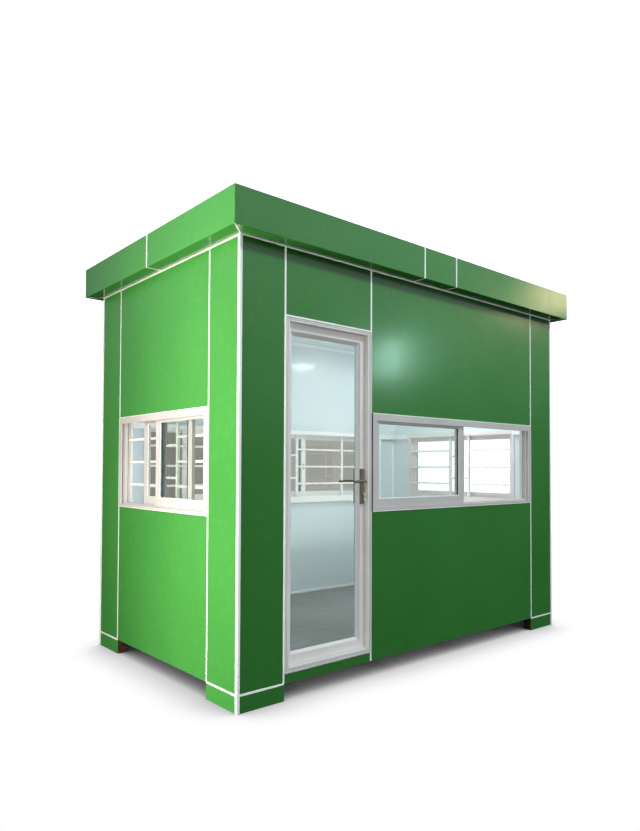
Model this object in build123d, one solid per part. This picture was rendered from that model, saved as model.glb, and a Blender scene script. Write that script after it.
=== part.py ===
from build123d import *
import os

# A guard booth: green panelled walls on four corner feet, a box fascia round a flat roof, sliding
# windows on every side and one glazed door in the front wall.
# Millimetres. +Z is up, the front faces -Y, and the origin is under the middle of the booth.

# Body
BODY_WIDTH = 3000.0          # outer wall faces, left to right
BODY_DEPTH = 1732.0          # outer wall faces, front to back
WALL_TOP = 2450.0            # underside of the fascia above the ground
PANEL_THICKNESS = 70.0
LINING_THICKNESS = 10.0
POST_WIDTH = 296.0           # corner post on each face

# Feet and floor
FOOT_HEIGHT = 92.0
FOOT_LENGTH = 300.0
FOOT_CORE_THICKNESS = 60.0
SKIRT_THICKNESS = 4.0
BEAM_WIDTH = 60.0
BEAM_COUNT = 5
DECK_THICKNESS = 14.0
FLOOR_TOP = 158.0

# Roof
FASCIA_HEIGHT = 200.0
ROOF_OVERHANG = 95.0
ROOF_TRAY_DEPTH = 20.0       # the roof lies this far below the top of the fascia
RIB_PITCH = 200.0
RIB_RISE = 12.0
RIB_BASE = 66.0
RIB_CREST = 36.0
RIB_END = 8.0                # from the ends of a rib to the fascia
CEILING_DROP = 122.0         # underside of the ceiling board below the wall top
CEILING_THICKNESS = 12.0

# Door bay in the front wall
DOOR_BAY_WIDTH = 657.0       # starts at the left corner post
DOOR_BAY_BOTTOM = 148.0
DOOR_BAY_TOP = 2070.0
FRAME_PROUD = 4.0            # door and window frames stand this far out of the wall
STOP_WIDTH = 30.0
STOP_HEAD = 27.0
STOP_SILL = 26.0
STOP_DEPTH = 30.0
JAMB_WIDTH = 16.0            # the part of the frame beside the leaf
JAMB_HEAD = 14.0
SILL_STEP = 12.0

# Door leaf
LEAF_GAP = 5.0
LATCH_GAP = 8.0              # wider, for the corner that swings past the jamb
LEAF_THICKNESS = 46.0
STILE_WIDTH = 45.0
LATCH_STILE_WIDTH = 42.0
TOP_RAIL = 53.0
BOTTOM_RAIL = 57.0
BEAD_WIDTH = 14.0
BEAD_THICKNESS = 34.0
BEAD_SLOPE = 10.0
DOOR_GLASS_THICKNESS = 6.0

# Hinges
HINGE_INSET = 165.0          # end of the leaf to the middle of the first and last hinge
HINGE_LENGTH = 96.0
KNUCKLE_RADIUS = 7.0
HINGE_PIN_RADIUS = 3.5
PIN_CLEARANCE = 0.05
KNUCKLE_GAP = 0.5
HINGE_PLATE_THICKNESS = 3.0
HINGE_PLATE_WIDTH = 30.0
PLATE_NOTCH = 2.0            # room in the fixed plate round the turning knuckle

# Lock
LEVER_HEIGHT = 1167.0
PLATE_WIDTH = 29.0
PLATE_HEIGHT = 210.0
PLATE_RISE = 74.0            # top of the plate above the lever
PLATE_THICKNESS = 10.0
PLATE_FILLET = 3.0
PLATE_TO_STOP = 6.0          # beside the frame's stop, which the plate swings past
CYLINDER_DROP = 79.0         # lock cylinder below the lever
CYLINDER_RADIUS = 8.5
CYLINDER_PROUD = 4.0
HUB_RADIUS = 8.0
HUB_CLEARANCE = 0.3
SPINDLE_RADIUS = 4.0
SPINDLE_HOLE_RADIUS = 6.0
LEVER_STANDOFF = 48.0        # leaf face to the middle of the lever bar
LEVER_LENGTH = 102.0
LEVER_BAR_WIDTH = 17.0
LEVER_BAR_THICKNESS = 11.0
LEVER_BAR_FILLET = 3.5

# Windows
WINDOW_BOTTOM = 982.0
WINDOW_TOP = 1578.0
REAR_WINDOW_DROP = 24.0      # the back and right windows sit lower
MULLION_WIDTH = 12.0         # between the door frame and the front window
MULLION_SETBACK = 6.0
LIP_WIDTH = 36.0
LIP_HEAD = 44.0
LIP_THICKNESS = 8.0
FRAME_WEB = 20.0             # frame member between the lip and the casing
CASING_THICKNESS = 6.0
BACK_CASING_THICKNESS = 34.0
CASING_OVERLAP = 12.0
REAR_CASING_SILL = 50.0      # the back and right casings have a wider lower member
SASH_FACE = 44.0
SASH_HEAD = 34.0
SASH_BOTTOM = 57.0
SASH_THICKNESS = 22.0
TRACK_SETBACK = 8.0          # wall face to the outer sash
TRACK_GAP = 4.0
SASH_HEAD_GAP = 2.0
PANE_THICKNESS = 5.0
FRONT_SASH_LAP = 75.0        # how far two shut sashes would lap
LEFT_SASH_LAP = 118.0
FRONT_SASH_SHORT = 0.5       # how far the inner sash stands from fully open
LEFT_SASH_SHORT = 215.0
BACK_SASH_SHORT = 864.0

# Grilles
GRILLE_SETBACK = 60.0        # wall face to the bars
UPRIGHT_WIDTH = 22.0
RAIL_WIDTH = 16.0
BAR_THICKNESS = 16.0
LEFT_NARROW_BAY = 162.0
LEFT_NARROW_CENTRE = 29.0
RIGHT_NARROW_BAY = 202.0
RIGHT_NARROW_CENTRE = -12.0
BACK_NARROW_BAY = 170.0
BACK_NARROW_CENTRE = -125.0
BACK_WIDE_BAY = 531.0

WALL_THICKNESS = PANEL_THICKNESS + LINING_THICKNESS
HALF_WIDTH = BODY_WIDTH / 2
HALF_DEPTH = BODY_DEPTH / 2
ROOF_TOP = WALL_TOP + FASCIA_HEIGHT
WALL_TURN = {"front": 0, "right": 90, "back": 180, "left": 270}
REAR_WALLS = ("back", "right")

os.makedirs("parts", exist_ok=True)


def save(name, *shapes):
    """Write one named piece, as one shape or as loose solids that belong together."""
    solids = []
    for shape in shapes:
        solids.extend(shape.solids())
    piece = solids[0] if len(solids) == 1 else Compound(children=solids)
    piece.label = name
    export_step(piece, os.path.join("parts", name + ".step"))


def block(x0, x1, y0, y1, z0, z1):
    """A box from its low and high corner."""
    middle = Pos((x0 + x1) / 2, (y0 + y1) / 2, (z0 + z1) / 2)
    return middle * Box(x1 - x0, y1 - y0, z1 - z0)


def half_length(wall):
    return HALF_WIDTH if wall in ("front", "back") else HALF_DEPTH


def face_distance(wall):
    """From the middle of the booth out to the wall's face."""
    return HALF_DEPTH if wall in ("front", "back") else HALF_WIDTH


def on_wall(wall, shape):
    """Turn a shape that was made on the front wall's pattern round to its own wall."""
    return Rot(0, 0, WALL_TURN[wall]) * shape


def slab(wall, u0, u1, v0, v1, z0, z1):
    """A box on a wall: u runs along it, to the right seen from outside, and v inward from its face."""
    face = -face_distance(wall)
    return on_wall(wall, block(u0, u1, face + v0, face + v1, z0, z1))


def ring(wall, box, faces, v0, v1):
    """A rectangular frame on a wall. faces are the widths of its left, right, bottom and top members."""
    u0, u1, z0, z1 = box
    left, right, bottom, top = faces
    outer = slab(wall, u0, u1, v0, v1, z0, z1)
    return outer - slab(wall, u0 + left, u1 - right, v0, v1, z0 + bottom, z1 - top)


# Feet: an L of heavy steel under each corner, with a green skirt on its two outer faces.
def corner_l(side_x, side_y, length, inset, thickness, z0, z1):
    """An L in plan at one corner, inset from both outer faces."""
    x_out = HALF_WIDTH - inset
    y_out = HALF_DEPTH - inset
    along_x = block(HALF_WIDTH - length, x_out, y_out - thickness, y_out, z0, z1)
    along_y = block(x_out - thickness, x_out, HALF_DEPTH - length, y_out, z0, z1)
    shape = along_x + along_y
    if side_x < 0:
        shape = mirror(shape, about=Plane.YZ)
    if side_y < 0:
        shape = mirror(shape, about=Plane.XZ)
    return shape


CORNERS = {
    "front_left": (-1, -1),
    "front_right": (1, -1),
    "back_left": (-1, 1),
    "back_right": (1, 1),
}


def feet():
    cores = []
    skirts = []
    for side_x, side_y in CORNERS.values():
        cores.append(corner_l(side_x, side_y, FOOT_LENGTH, SKIRT_THICKNESS, FOOT_CORE_THICKNESS,
                              0, FOOT_HEIGHT))
        skirts.append(corner_l(side_x, side_y, FOOT_LENGTH, 0, SKIRT_THICKNESS, 0, FOOT_HEIGHT))
    save("foot_cores", *cores)
    save("foot_skirts", *skirts)


# Floor: cross beams between the front and back walls carry the deck.
def floor():
    inner_x = HALF_WIDTH - PANEL_THICKNESS
    inner_y = HALF_DEPTH - PANEL_THICKNESS
    deck_bottom = FLOOR_TOP - DECK_THICKNESS
    pitch = (2 * inner_x - BEAM_WIDTH) / (BEAM_COUNT - 1)
    beams = []
    for i in range(BEAM_COUNT):
        x = -inner_x + i * pitch
        beams.append(block(x, x + BEAM_WIDTH, -inner_y, inner_y, FOOT_HEIGHT, deck_bottom))
    save("floor_beams", *beams)
    save("floor_deck", block(-inner_x, inner_x, -inner_y, inner_y, deck_bottom, FLOOR_TOP))


# Walls: a post at each corner, and flat panels between the posts and round each opening.
def corner_posts():
    for name, (side_x, side_y) in CORNERS.items():
        save("corner_post_" + name,
             corner_l(side_x, side_y, POST_WIDTH, 0, PANEL_THICKNESS, FOOT_HEIGHT, WALL_TOP))


FRONT_LEFT = -HALF_WIDTH + POST_WIDTH
DOOR_BAY_RIGHT = FRONT_LEFT + DOOR_BAY_WIDTH


def door_bay():
    """The door's outline on the front wall: left, right, bottom, top."""
    return FRONT_LEFT, DOOR_BAY_RIGHT, DOOR_BAY_BOTTOM, DOOR_BAY_TOP


def window_bay(wall):
    """The window's outline on its own wall: left, right, bottom, top. It reaches from post to post, but in
    front it starts beside the door."""
    right = half_length(wall) - POST_WIDTH
    left = DOOR_BAY_RIGHT + MULLION_WIDTH if wall == "front" else -right
    drop = REAR_WINDOW_DROP if wall in REAR_WALLS else 0
    return left, right, WINDOW_BOTTOM - drop, WINDOW_TOP - drop


def window_cut_left(wall):
    """Where the wall's window hole starts. In front it starts with the mullion, beside the door."""
    return DOOR_BAY_RIGHT if wall == "front" else window_bay(wall)[0]


def panel(name, wall, u0, u1, z0, z1):
    save(name, slab(wall, u0, u1, 0, PANEL_THICKNESS, z0, z1))


def wall_panels():
    panel("front_panel_over_door", "front", FRONT_LEFT, DOOR_BAY_RIGHT, DOOR_BAY_TOP, WALL_TOP)
    panel("front_panel_under_door", "front", FRONT_LEFT, DOOR_BAY_RIGHT, FOOT_HEIGHT, DOOR_BAY_BOTTOM)
    for wall in WALL_TURN:
        u1, z0, z1 = window_bay(wall)[1:]
        left = window_cut_left(wall)
        panel(wall + "_panel_over_window", wall, left, u1, z1, WALL_TOP)
        panel(wall + "_panel_under_window", wall, left, u1, FOOT_HEIGHT, z0)
    save("door_window_mullion",
         slab("front", DOOR_BAY_RIGHT, DOOR_BAY_RIGHT + MULLION_WIDTH, MULLION_SETBACK, WALL_THICKNESS,
              WINDOW_BOTTOM, WINDOW_TOP))


# Lining: one board inside each wall, cut out for the window and the door.
def linings():
    for wall in WALL_TURN:
        reach = half_length(wall) - (PANEL_THICKNESS if wall in ("front", "back") else WALL_THICKNESS)
        board = slab(wall, -reach, reach, PANEL_THICKNESS, WALL_THICKNESS, FLOOR_TOP, WALL_TOP)
        u1, z0, z1 = window_bay(wall)[1:]
        board -= slab(wall, window_cut_left(wall), u1, 0, WALL_THICKNESS, z0, z1)
        if wall == "front":
            board -= slab(wall, FRONT_LEFT, DOOR_BAY_RIGHT, 0, WALL_THICKNESS, 0, DOOR_BAY_TOP)
        save(wall + "_lining", board)
    inner_x = HALF_WIDTH - WALL_THICKNESS
    inner_y = HALF_DEPTH - WALL_THICKNESS
    underside = WALL_TOP - CEILING_DROP
    save("ceiling_board",
         block(-inner_x, inner_x, -inner_y, inner_y, underside, underside + CEILING_THICKNESS))


# Roof: a slab over the walls with ribs from front to back, and a mitred box fascia along each edge.
def roof():
    top = ROOF_TOP - ROOF_TRAY_DEPTH
    slab_and_ribs = block(-HALF_WIDTH, HALF_WIDTH, -HALF_DEPTH, HALF_DEPTH, WALL_TOP, top)
    length = BODY_DEPTH - 2 * RIB_END
    rib_count = int((BODY_WIDTH - RIB_BASE) / RIB_PITCH)
    rib_outline = Polyline(
        (-RIB_BASE / 2, 0),
        (RIB_BASE / 2, 0),
        (RIB_CREST / 2, RIB_RISE),
        (-RIB_CREST / 2, RIB_RISE),
        close=True,
    )
    rib = Rot(90, 0, 0) * extrude(make_face(rib_outline), amount=length)
    for i in range(rib_count):
        x = (i - (rib_count - 1) / 2) * RIB_PITCH
        slab_and_ribs += Pos(x, length / 2, top) * rib
    save("roof_slab", slab_and_ribs)
    for wall in WALL_TURN:
        half = half_length(wall)
        depth = face_distance(wall)
        outline = Polyline(
            (-half, -depth),
            (half, -depth),
            (half + ROOF_OVERHANG, -depth - ROOF_OVERHANG),
            (-half - ROOF_OVERHANG, -depth - ROOF_OVERHANG),
            close=True,
        )
        length = extrude(make_face(outline), amount=FASCIA_HEIGHT)
        save("fascia_" + wall, on_wall(wall, Pos(0, 0, WALL_TOP) * length))


# Windows: a frame with an outer lip and an inner casing, and two sashes on two tracks.
def window_frame(wall):
    bay = window_bay(wall)
    u0, u1, z0, z1 = bay
    lip = ring(wall, bay, (LIP_WIDTH, LIP_WIDTH, FRAME_WEB, LIP_HEAD),
               -FRAME_PROUD, LIP_THICKNESS - FRAME_PROUD)
    web = ring(wall, bay, (FRAME_WEB,) * 4, LIP_THICKNESS - FRAME_PROUD, WALL_THICKNESS)
    over = CASING_OVERLAP
    face = FRAME_WEB + over
    sill = REAR_CASING_SILL if wall in REAR_WALLS else face
    thickness = BACK_CASING_THICKNESS if wall == "back" else CASING_THICKNESS
    casing = ring(wall, (u0 - over, u1 + over, z0 - over, z1 + over), (face, face, sill, face),
                  WALL_THICKNESS, WALL_THICKNESS + thickness)
    save(wall + "_window_frame", lip + web + casing)


def sash_box(wall, from_left, width, track_start):
    """One sash, from its distance along the track to the frame's left web."""
    u0, u1, z0, z1 = window_bay(wall)
    left = u0 + FRAME_WEB + from_left
    box = (left, left + width, z0 + FRAME_WEB, z1 - FRAME_WEB - SASH_HEAD_GAP)
    sash = ring(wall, box, (SASH_FACE, SASH_FACE, SASH_BOTTOM, SASH_HEAD),
                track_start, track_start + SASH_THICKNESS)
    pane_start = track_start + (SASH_THICKNESS - PANE_THICKNESS) / 2
    pane = slab(wall, box[0] + SASH_FACE, box[1] - SASH_FACE, pane_start, pane_start + PANE_THICKNESS,
                box[2] + SASH_BOTTOM, box[3] - SASH_HEAD)
    return sash, pane


def window_sashes(wall, outer_on_right, lap=SASH_FACE, short_of_open=None):
    """The outer sash stands at one end. The inner one is shut, or slid towards the outer one."""
    u0, u1 = window_bay(wall)[:2]
    clear = u1 - u0 - 2 * FRAME_WEB
    width = (clear + lap) / 2
    travel = clear - width
    slide = 0 if short_of_open is None else travel - short_of_open
    outer_at = travel if outer_on_right else 0
    inner_at = slide if outer_on_right else travel - slide
    outer = sash_box(wall, outer_at, width, TRACK_SETBACK)
    inner = sash_box(wall, inner_at, width, TRACK_SETBACK + SASH_THICKNESS + TRACK_GAP)
    save(wall + "_window_sashes", outer[0], inner[0])
    save(wall + "_window_panes", outer[1], inner[1])


# Grilles: uprights and rails inside the sashes. A narrow bay has two rails, a wide one three, and they share
# the window's whole height evenly.
def grille(wall, uprights, narrow):
    u0, u1, z0, z1 = window_bay(wall)
    low = z0 + FRAME_WEB
    high = z1 - FRAME_WEB
    ends = [u0 + FRAME_WEB] + sorted(uprights) + [u1 - FRAME_WEB]
    back = GRILLE_SETBACK + BAR_THICKNESS
    bars = []
    for u in uprights:
        bars.append(slab(wall, u - UPRIGHT_WIDTH / 2, u + UPRIGHT_WIDTH / 2, GRILLE_SETBACK, back, low, high))
    for i in range(len(ends) - 1):
        count = 2 if i in narrow else 3
        for j in range(count):
            z = z0 + (z1 - z0) * (j + 1) / (count + 1)
            bars.append(slab(wall, ends[i], ends[i + 1], GRILLE_SETBACK, back,
                             z - RAIL_WIDTH / 2, z + RAIL_WIDTH / 2))
    whole = bars[0]
    for bar in bars[1:]:
        whole = whole + bar
    save(wall + "_grille", whole)


def narrow_bay(centre, width):
    """The two uprights on either side of a narrow bay."""
    return [centre - width / 2, centre + width / 2]


# Door frame: a stop in front of the leaf and a slimmer jamb beside it.
def door_frame():
    stop = ring("front", door_bay(), (STOP_WIDTH, STOP_WIDTH, STOP_SILL, STOP_HEAD),
                -FRAME_PROUD, STOP_DEPTH - FRAME_PROUD)
    jamb = ring("front", door_bay(), (JAMB_WIDTH, JAMB_WIDTH, SILL_STEP, JAMB_HEAD),
                STOP_DEPTH - FRAME_PROUD, WALL_THICKNESS)
    u0, u1, z0 = door_bay()[:3]
    jamb -= slab("front", u0, u1, PANEL_THICKNESS, WALL_THICKNESS, z0, FLOOR_TOP)
    jamb -= slab("front", u0 + JAMB_WIDTH, u1 - JAMB_WIDTH, PANEL_THICKNESS, WALL_THICKNESS,
                 z0, z0 + SILL_STEP)
    save("door_frame", stop + jamb)


LEAF_FRONT = STOP_DEPTH - FRAME_PROUD + LEAF_GAP
LEAF_BACK = LEAF_FRONT + LEAF_THICKNESS
LEAF_LEFT = FRONT_LEFT + JAMB_WIDTH + LEAF_GAP
LEAF_RIGHT = DOOR_BAY_RIGHT - JAMB_WIDTH - LATCH_GAP
LEAF_BOTTOM = DOOR_BAY_BOTTOM + SILL_STEP + LEAF_GAP
LEAF_TOP = DOOR_BAY_TOP - JAMB_HEAD - LEAF_GAP
LOCK_U = DOOR_BAY_RIGHT - STOP_WIDTH - PLATE_TO_STOP - PLATE_WIDTH / 2
HINGE_U = FRONT_LEFT + JAMB_WIDTH + LEAF_GAP / 2
HINGE_V = WALL_THICKNESS + KNUCKLE_RADIUS
FRONT_FACE = -HALF_DEPTH


def cross_cylinder(radius, u, z, v0, v1):
    """A round bar through the front wall, from depth v0 to v1."""
    length = v1 - v0
    middle = FRONT_FACE + (v0 + v1) / 2
    return Pos(u, middle, z) * Rot(90, 0, 0) * Cylinder(radius, length)


# Door leaf: stiles and rails round one pane, which is held by a bead that slopes to it on both sides.
def door_leaf():
    faces = (STILE_WIDTH, LATCH_STILE_WIDTH, BOTTOM_RAIL, TOP_RAIL)
    leaf = ring("front", (LEAF_LEFT, LEAF_RIGHT, LEAF_BOTTOM, LEAF_TOP), faces, LEAF_FRONT, LEAF_BACK)
    inner = (LEAF_LEFT + STILE_WIDTH, LEAF_RIGHT - LATCH_STILE_WIDTH, LEAF_BOTTOM + BOTTOM_RAIL,
             LEAF_TOP - TOP_RAIL)
    middle = (LEAF_FRONT + LEAF_BACK) / 2
    bead = ring("front", inner, (BEAD_WIDTH,) * 4, middle - BEAD_THICKNESS / 2, middle + BEAD_THICKNESS / 2)
    by_depth = bead.faces().sort_by(Axis.Y)
    slopes = by_depth[0].inner_wires()[0].edges() + by_depth[-1].inner_wires()[0].edges()
    leaf += chamfer(slopes, BEAD_SLOPE)
    leaf -= cross_cylinder(SPINDLE_HOLE_RADIUS, LOCK_U, LEVER_HEIGHT, LEAF_FRONT, LEAF_BACK)
    save("door_leaf_frame", leaf)
    half_glass = DOOR_GLASS_THICKNESS / 2
    save("door_glass", slab("front", inner[0] + BEAD_WIDTH, inner[1] - BEAD_WIDTH,
                            middle - half_glass, middle + half_glass,
                            inner[2] + BEAD_WIDTH, inner[3] - BEAD_WIDTH))


# Hinges: two fixed knuckles with a pin and one turning knuckle between them.
def hinges():
    fixed = []
    turning = []
    third = HINGE_LENGTH / 3
    y = FRONT_FACE + HINGE_V
    plate_back = WALL_THICKNESS + HINGE_PLATE_THICKNESS
    for middle in (LEAF_BOTTOM + HINGE_INSET, (LEAF_BOTTOM + LEAF_TOP) / 2, LEAF_TOP - HINGE_INSET):
        low = middle - HINGE_LENGTH / 2
        high = middle + HINGE_LENGTH / 2
        inner_low = middle - third / 2 - KNUCKLE_GAP
        inner_high = middle + third / 2 + KNUCKLE_GAP
        post = Pos(HINGE_U, y, middle) * Cylinder(HINGE_PIN_RADIUS, HINGE_LENGTH)
        for z0, z1 in ((low, inner_low), (inner_high, high)):
            post += Pos(HINGE_U, y, (z0 + z1) / 2) * Cylinder(KNUCKLE_RADIUS, z1 - z0)
            post += slab("front", HINGE_U - HINGE_PLATE_WIDTH, HINGE_U, WALL_THICKNESS, plate_back, z0, z1)
        fixed.append(post + slab("front", HINGE_U - HINGE_PLATE_WIDTH, HINGE_U - KNUCKLE_RADIUS - PLATE_NOTCH,
                                 WALL_THICKNESS, plate_back, low, high))
        turn_low = middle - third / 2
        turn_high = middle + third / 2
        eye = Pos(HINGE_U, y, middle) * Cylinder(KNUCKLE_RADIUS, third)
        eye += slab("front", HINGE_U, HINGE_U + KNUCKLE_RADIUS, LEAF_BACK, HINGE_V, turn_low, turn_high)
        eye += slab("front", LEAF_LEFT, HINGE_U + HINGE_PLATE_WIDTH, LEAF_BACK,
                    LEAF_BACK + HINGE_PLATE_THICKNESS, low, high)
        bore = Pos(HINGE_U, y, middle) * Cylinder(HINGE_PIN_RADIUS + PIN_CLEARANCE, HINGE_LENGTH)
        turning.append(eye - bore)
    save("hinge_fixed_leaves", *fixed)
    save("hinge_turning_leaves", *turning)


# Lock: a long plate on each face of the stile, with the lock cylinder under the lever.
def lock_plates():
    plates = []
    plate_top = LEVER_HEIGHT + PLATE_RISE
    for v0, v1, out in ((LEAF_FRONT - PLATE_THICKNESS, LEAF_FRONT, -1),
                        (LEAF_BACK, LEAF_BACK + PLATE_THICKNESS, 1)):
        plate = slab("front", LOCK_U - PLATE_WIDTH / 2, LOCK_U + PLATE_WIDTH / 2, v0, v1,
                     plate_top - PLATE_HEIGHT, plate_top)
        face = plate.faces().sort_by(Axis.Y)[0 if out < 0 else -1]
        plate = fillet(face.edges(), PLATE_FILLET)
        tip = v0 - CYLINDER_PROUD if out < 0 else v1 + CYLINDER_PROUD
        plate += cross_cylinder(CYLINDER_RADIUS, LOCK_U, LEVER_HEIGHT - CYLINDER_DROP,
                                min(tip, v0), max(tip, v1))
        plate -= cross_cylinder(HUB_RADIUS + HUB_CLEARANCE, LOCK_U, LEVER_HEIGHT, v0, v1)
        plates.append(plate)
    save("lock_plates", *plates)


def lever_set():
    """Both levers on one spindle. The bars point to the hinge side."""
    start = LEAF_FRONT - LEVER_STANDOFF
    end = LEAF_BACK + LEVER_STANDOFF
    whole = cross_cylinder(SPINDLE_RADIUS, LOCK_U, LEVER_HEIGHT, start, end)
    half = LEVER_BAR_THICKNESS / 2
    for middle, face, out in ((start, LEAF_FRONT, -1), (end, LEAF_BACK, 1)):
        inner = face + out * HUB_CLEARANCE
        tip = middle + out * half
        whole += cross_cylinder(HUB_RADIUS, LOCK_U, LEVER_HEIGHT, min(inner, tip), max(inner, tip))
        bar = slab("front", LOCK_U - LEVER_LENGTH, LOCK_U, middle - half, middle + half,
                   LEVER_HEIGHT - LEVER_BAR_WIDTH / 2, LEVER_HEIGHT + LEVER_BAR_WIDTH / 2)
        bar = fillet(bar.edges().filter_by(Axis.X), LEVER_BAR_FILLET)
        whole += bar
    save("lever_set", whole)


feet()
floor()
corner_posts()
wall_panels()
linings()
roof()
for wall_name in WALL_TURN:
    window_frame(wall_name)
window_sashes("front", False, FRONT_SASH_LAP, FRONT_SASH_SHORT)
window_sashes("left", True, LEFT_SASH_LAP, LEFT_SASH_SHORT)
window_sashes("right", False)
window_sashes("back", False, short_of_open=BACK_SASH_SHORT)
grille("left", narrow_bay(LEFT_NARROW_CENTRE, LEFT_NARROW_BAY), (1,))
grille("right", narrow_bay(RIGHT_NARROW_CENTRE, RIGHT_NARROW_BAY), (1,))
back_low, back_high = narrow_bay(BACK_NARROW_CENTRE, BACK_NARROW_BAY)
grille("back", [back_low - BACK_WIDE_BAY, back_low, back_high, back_high + BACK_WIDE_BAY], (2,))
door_frame()
door_leaf()
hinges()
lock_plates()
lever_set()
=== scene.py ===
import math

import bmesh
import bpy
import numpy as np
from mathutils import Matrix, Vector


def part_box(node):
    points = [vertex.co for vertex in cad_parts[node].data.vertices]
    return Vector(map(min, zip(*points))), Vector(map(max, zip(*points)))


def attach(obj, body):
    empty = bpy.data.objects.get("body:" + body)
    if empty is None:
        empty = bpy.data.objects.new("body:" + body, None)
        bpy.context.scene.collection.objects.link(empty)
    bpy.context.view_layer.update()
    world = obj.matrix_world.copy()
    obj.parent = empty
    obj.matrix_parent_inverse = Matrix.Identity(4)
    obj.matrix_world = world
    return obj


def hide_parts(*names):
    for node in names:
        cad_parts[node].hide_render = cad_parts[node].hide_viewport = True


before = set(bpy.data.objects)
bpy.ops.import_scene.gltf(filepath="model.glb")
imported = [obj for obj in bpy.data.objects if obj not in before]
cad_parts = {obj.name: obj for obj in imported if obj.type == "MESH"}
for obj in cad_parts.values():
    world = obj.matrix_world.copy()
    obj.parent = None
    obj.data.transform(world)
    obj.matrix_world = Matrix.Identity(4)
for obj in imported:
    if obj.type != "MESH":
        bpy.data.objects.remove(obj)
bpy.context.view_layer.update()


# Feet: an L of welded steel plate under each corner. It is brushed with red oxide primer, and a green skirt
# hides its two outer faces. The primer dries matt, with darker brush marks and a little rust at the edges.
MM = 0.001


def linear(code):
    """A colour as it is written for screens, six hex digits, turned to the light values of shaders."""
    parts = [int(code[i:i + 2], 16) / 255 for i in (0, 2, 4)]
    return [c / 12.92 if c <= 0.04045 else ((c + 0.055) / 1.055) ** 2.4 for c in parts] + [1.0]


def add(tree, kind, inputs, out=None, **settings):
    """One node with its settings and links. Each input takes a plain value or another node's output. Gives
    the named output, or else the first one in use."""
    node = tree.nodes.new("ShaderNode" + kind)
    for name, value in settings.items():
        setattr(node, name, value)
    sockets = {socket.name: socket for socket in list(node.inputs)[::-1]}
    sockets.update({socket.identifier: socket for socket in node.inputs})
    for name, value in inputs.items():
        if isinstance(value, bpy.types.NodeSocket):
            tree.links.new(value, sockets[name])
        else:
            sockets[name].default_value = value
    return node.outputs[out] if out else next((socket for socket in node.outputs if socket.enabled), None)


def start_finish(name):
    """A new material with an empty tree, and the places on the object in metres."""
    material = bpy.data.materials.new(name)
    material.use_nodes = True
    material.node_tree.nodes.clear()
    return material, material.node_tree, add(material.node_tree, "TexCoord", {}, out="Object")


MERGE_REACH = 0.01
EDGE_ANGLE = 40.0
EDGE_SEGMENTS = 2


def round_edges(piece, radius):
    """Merges a CAD piece's loose triangles and rounds its sharp edges by radius millimetres."""
    weld = piece.modifiers.new("merge", "WELD")
    weld.merge_threshold = MERGE_REACH * MM
    bevel = piece.modifiers.new("edges", "BEVEL")
    bevel.width = radius * MM
    bevel.segments = EDGE_SEGMENTS
    bevel.limit_method = "ANGLE"
    bevel.angle_limit = math.radians(EDGE_ANGLE)
    bevel.harden_normals = True


def dress(names, material, radius=0.0):
    """Gives CAD pieces their finish, and rounds their edges where a radius is given."""
    for name in names:
        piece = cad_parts[name]
        for slot in piece.material_slots:
            slot.material = material
        if radius:
            round_edges(piece, radius)


def oxide_primer():
    """Red oxide primer on mild steel: level brush marks 40 mm long and 14 mm wide, matt, with rust specks
    of 5 mm."""
    material, tree, places = start_finish("oxide_primer_on_steel")
    along = add(tree, "Mapping", {"Vector": places, "Scale": (0.35, 0.35, 1)})
    brushed = add(tree, "TexNoise", {"Vector": along, "Scale": 1 / (14 * MM), "Detail": 3.0})
    marks = add(tree, "MapRange", {"Value": brushed, "From Min": 0.3, "From Max": 0.7})
    paint = add(tree, "Mix", {"Factor_Float": marks, "A_Color": linear("3A211C"),
                              "B_Color": linear("57342B")}, data_type="RGBA")
    speck = add(tree, "TexNoise", {"Vector": places, "Scale": 1 / (5 * MM), "Detail": 6.0})
    rust = add(tree, "MapRange", {"Value": speck, "From Min": 0.6, "From Max": 0.72, "To Max": 0.7})
    colour = add(tree, "Mix", {"Factor_Float": rust, "A_Color": paint, "B_Color": linear("6E3D22")},
                 data_type="RGBA")
    bump = add(tree, "Bump", {"Height": brushed, "Distance": 0.3 * MM})
    shader = add(tree, "BsdfPrincipled", {"Base Color": colour, "Roughness": 0.8, "Normal": bump})
    add(tree, "OutputMaterial", {"Surface": shader})
    return material


primer = oxide_primer()
dress(["foot_cores", "floor_beams"], primer, radius=2.0)


# Floor: cement board on the beams, covered with grey sheet vinyl. It is rolled out from left to right, so
# its printed streaks run that way, and it has a low satin shine.
def sheet_vinyl():
    """Sheet vinyl: streaks 7 mm wide and 120 mm long over slow patches, under a clear wear layer."""
    material, tree, places = start_finish("sheet_vinyl")
    along = add(tree, "Mapping", {"Vector": places, "Scale": (0.06, 1, 1)})
    streak = add(tree, "TexNoise", {"Vector": along, "Scale": 1 / (7 * MM), "Detail": 4.0})
    streaks = add(tree, "MapRange", {"Value": streak, "From Min": 0.3, "From Max": 0.7})
    patch = add(tree, "TexNoise", {"Vector": places, "Scale": 1 / (260 * MM), "Detail": 3.0})
    patches = add(tree, "MapRange", {"Value": patch, "From Min": 0.3, "From Max": 0.7, "To Max": 0.35})
    print_tone = add(tree, "Mix", {"Factor_Float": streaks, "A_Color": linear("757773"),
                                   "B_Color": linear("929390")}, data_type="RGBA")
    colour = add(tree, "Mix", {"Factor_Float": patches, "A_Color": print_tone,
                               "B_Color": linear("80827E")}, data_type="RGBA")
    worn = add(tree, "MapRange", {"Value": patch, "From Min": 0.3, "From Max": 0.7, "To Min": 0.36,
                                  "To Max": 0.48})
    bump = add(tree, "Bump", {"Height": streak, "Distance": 0.06 * MM})
    shader = add(tree, "BsdfPrincipled", {"Base Color": colour, "Roughness": worn, "Normal": bump,
                                          "Specular IOR Level": 0.4})
    add(tree, "OutputMaterial", {"Surface": shader})
    return material


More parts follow.
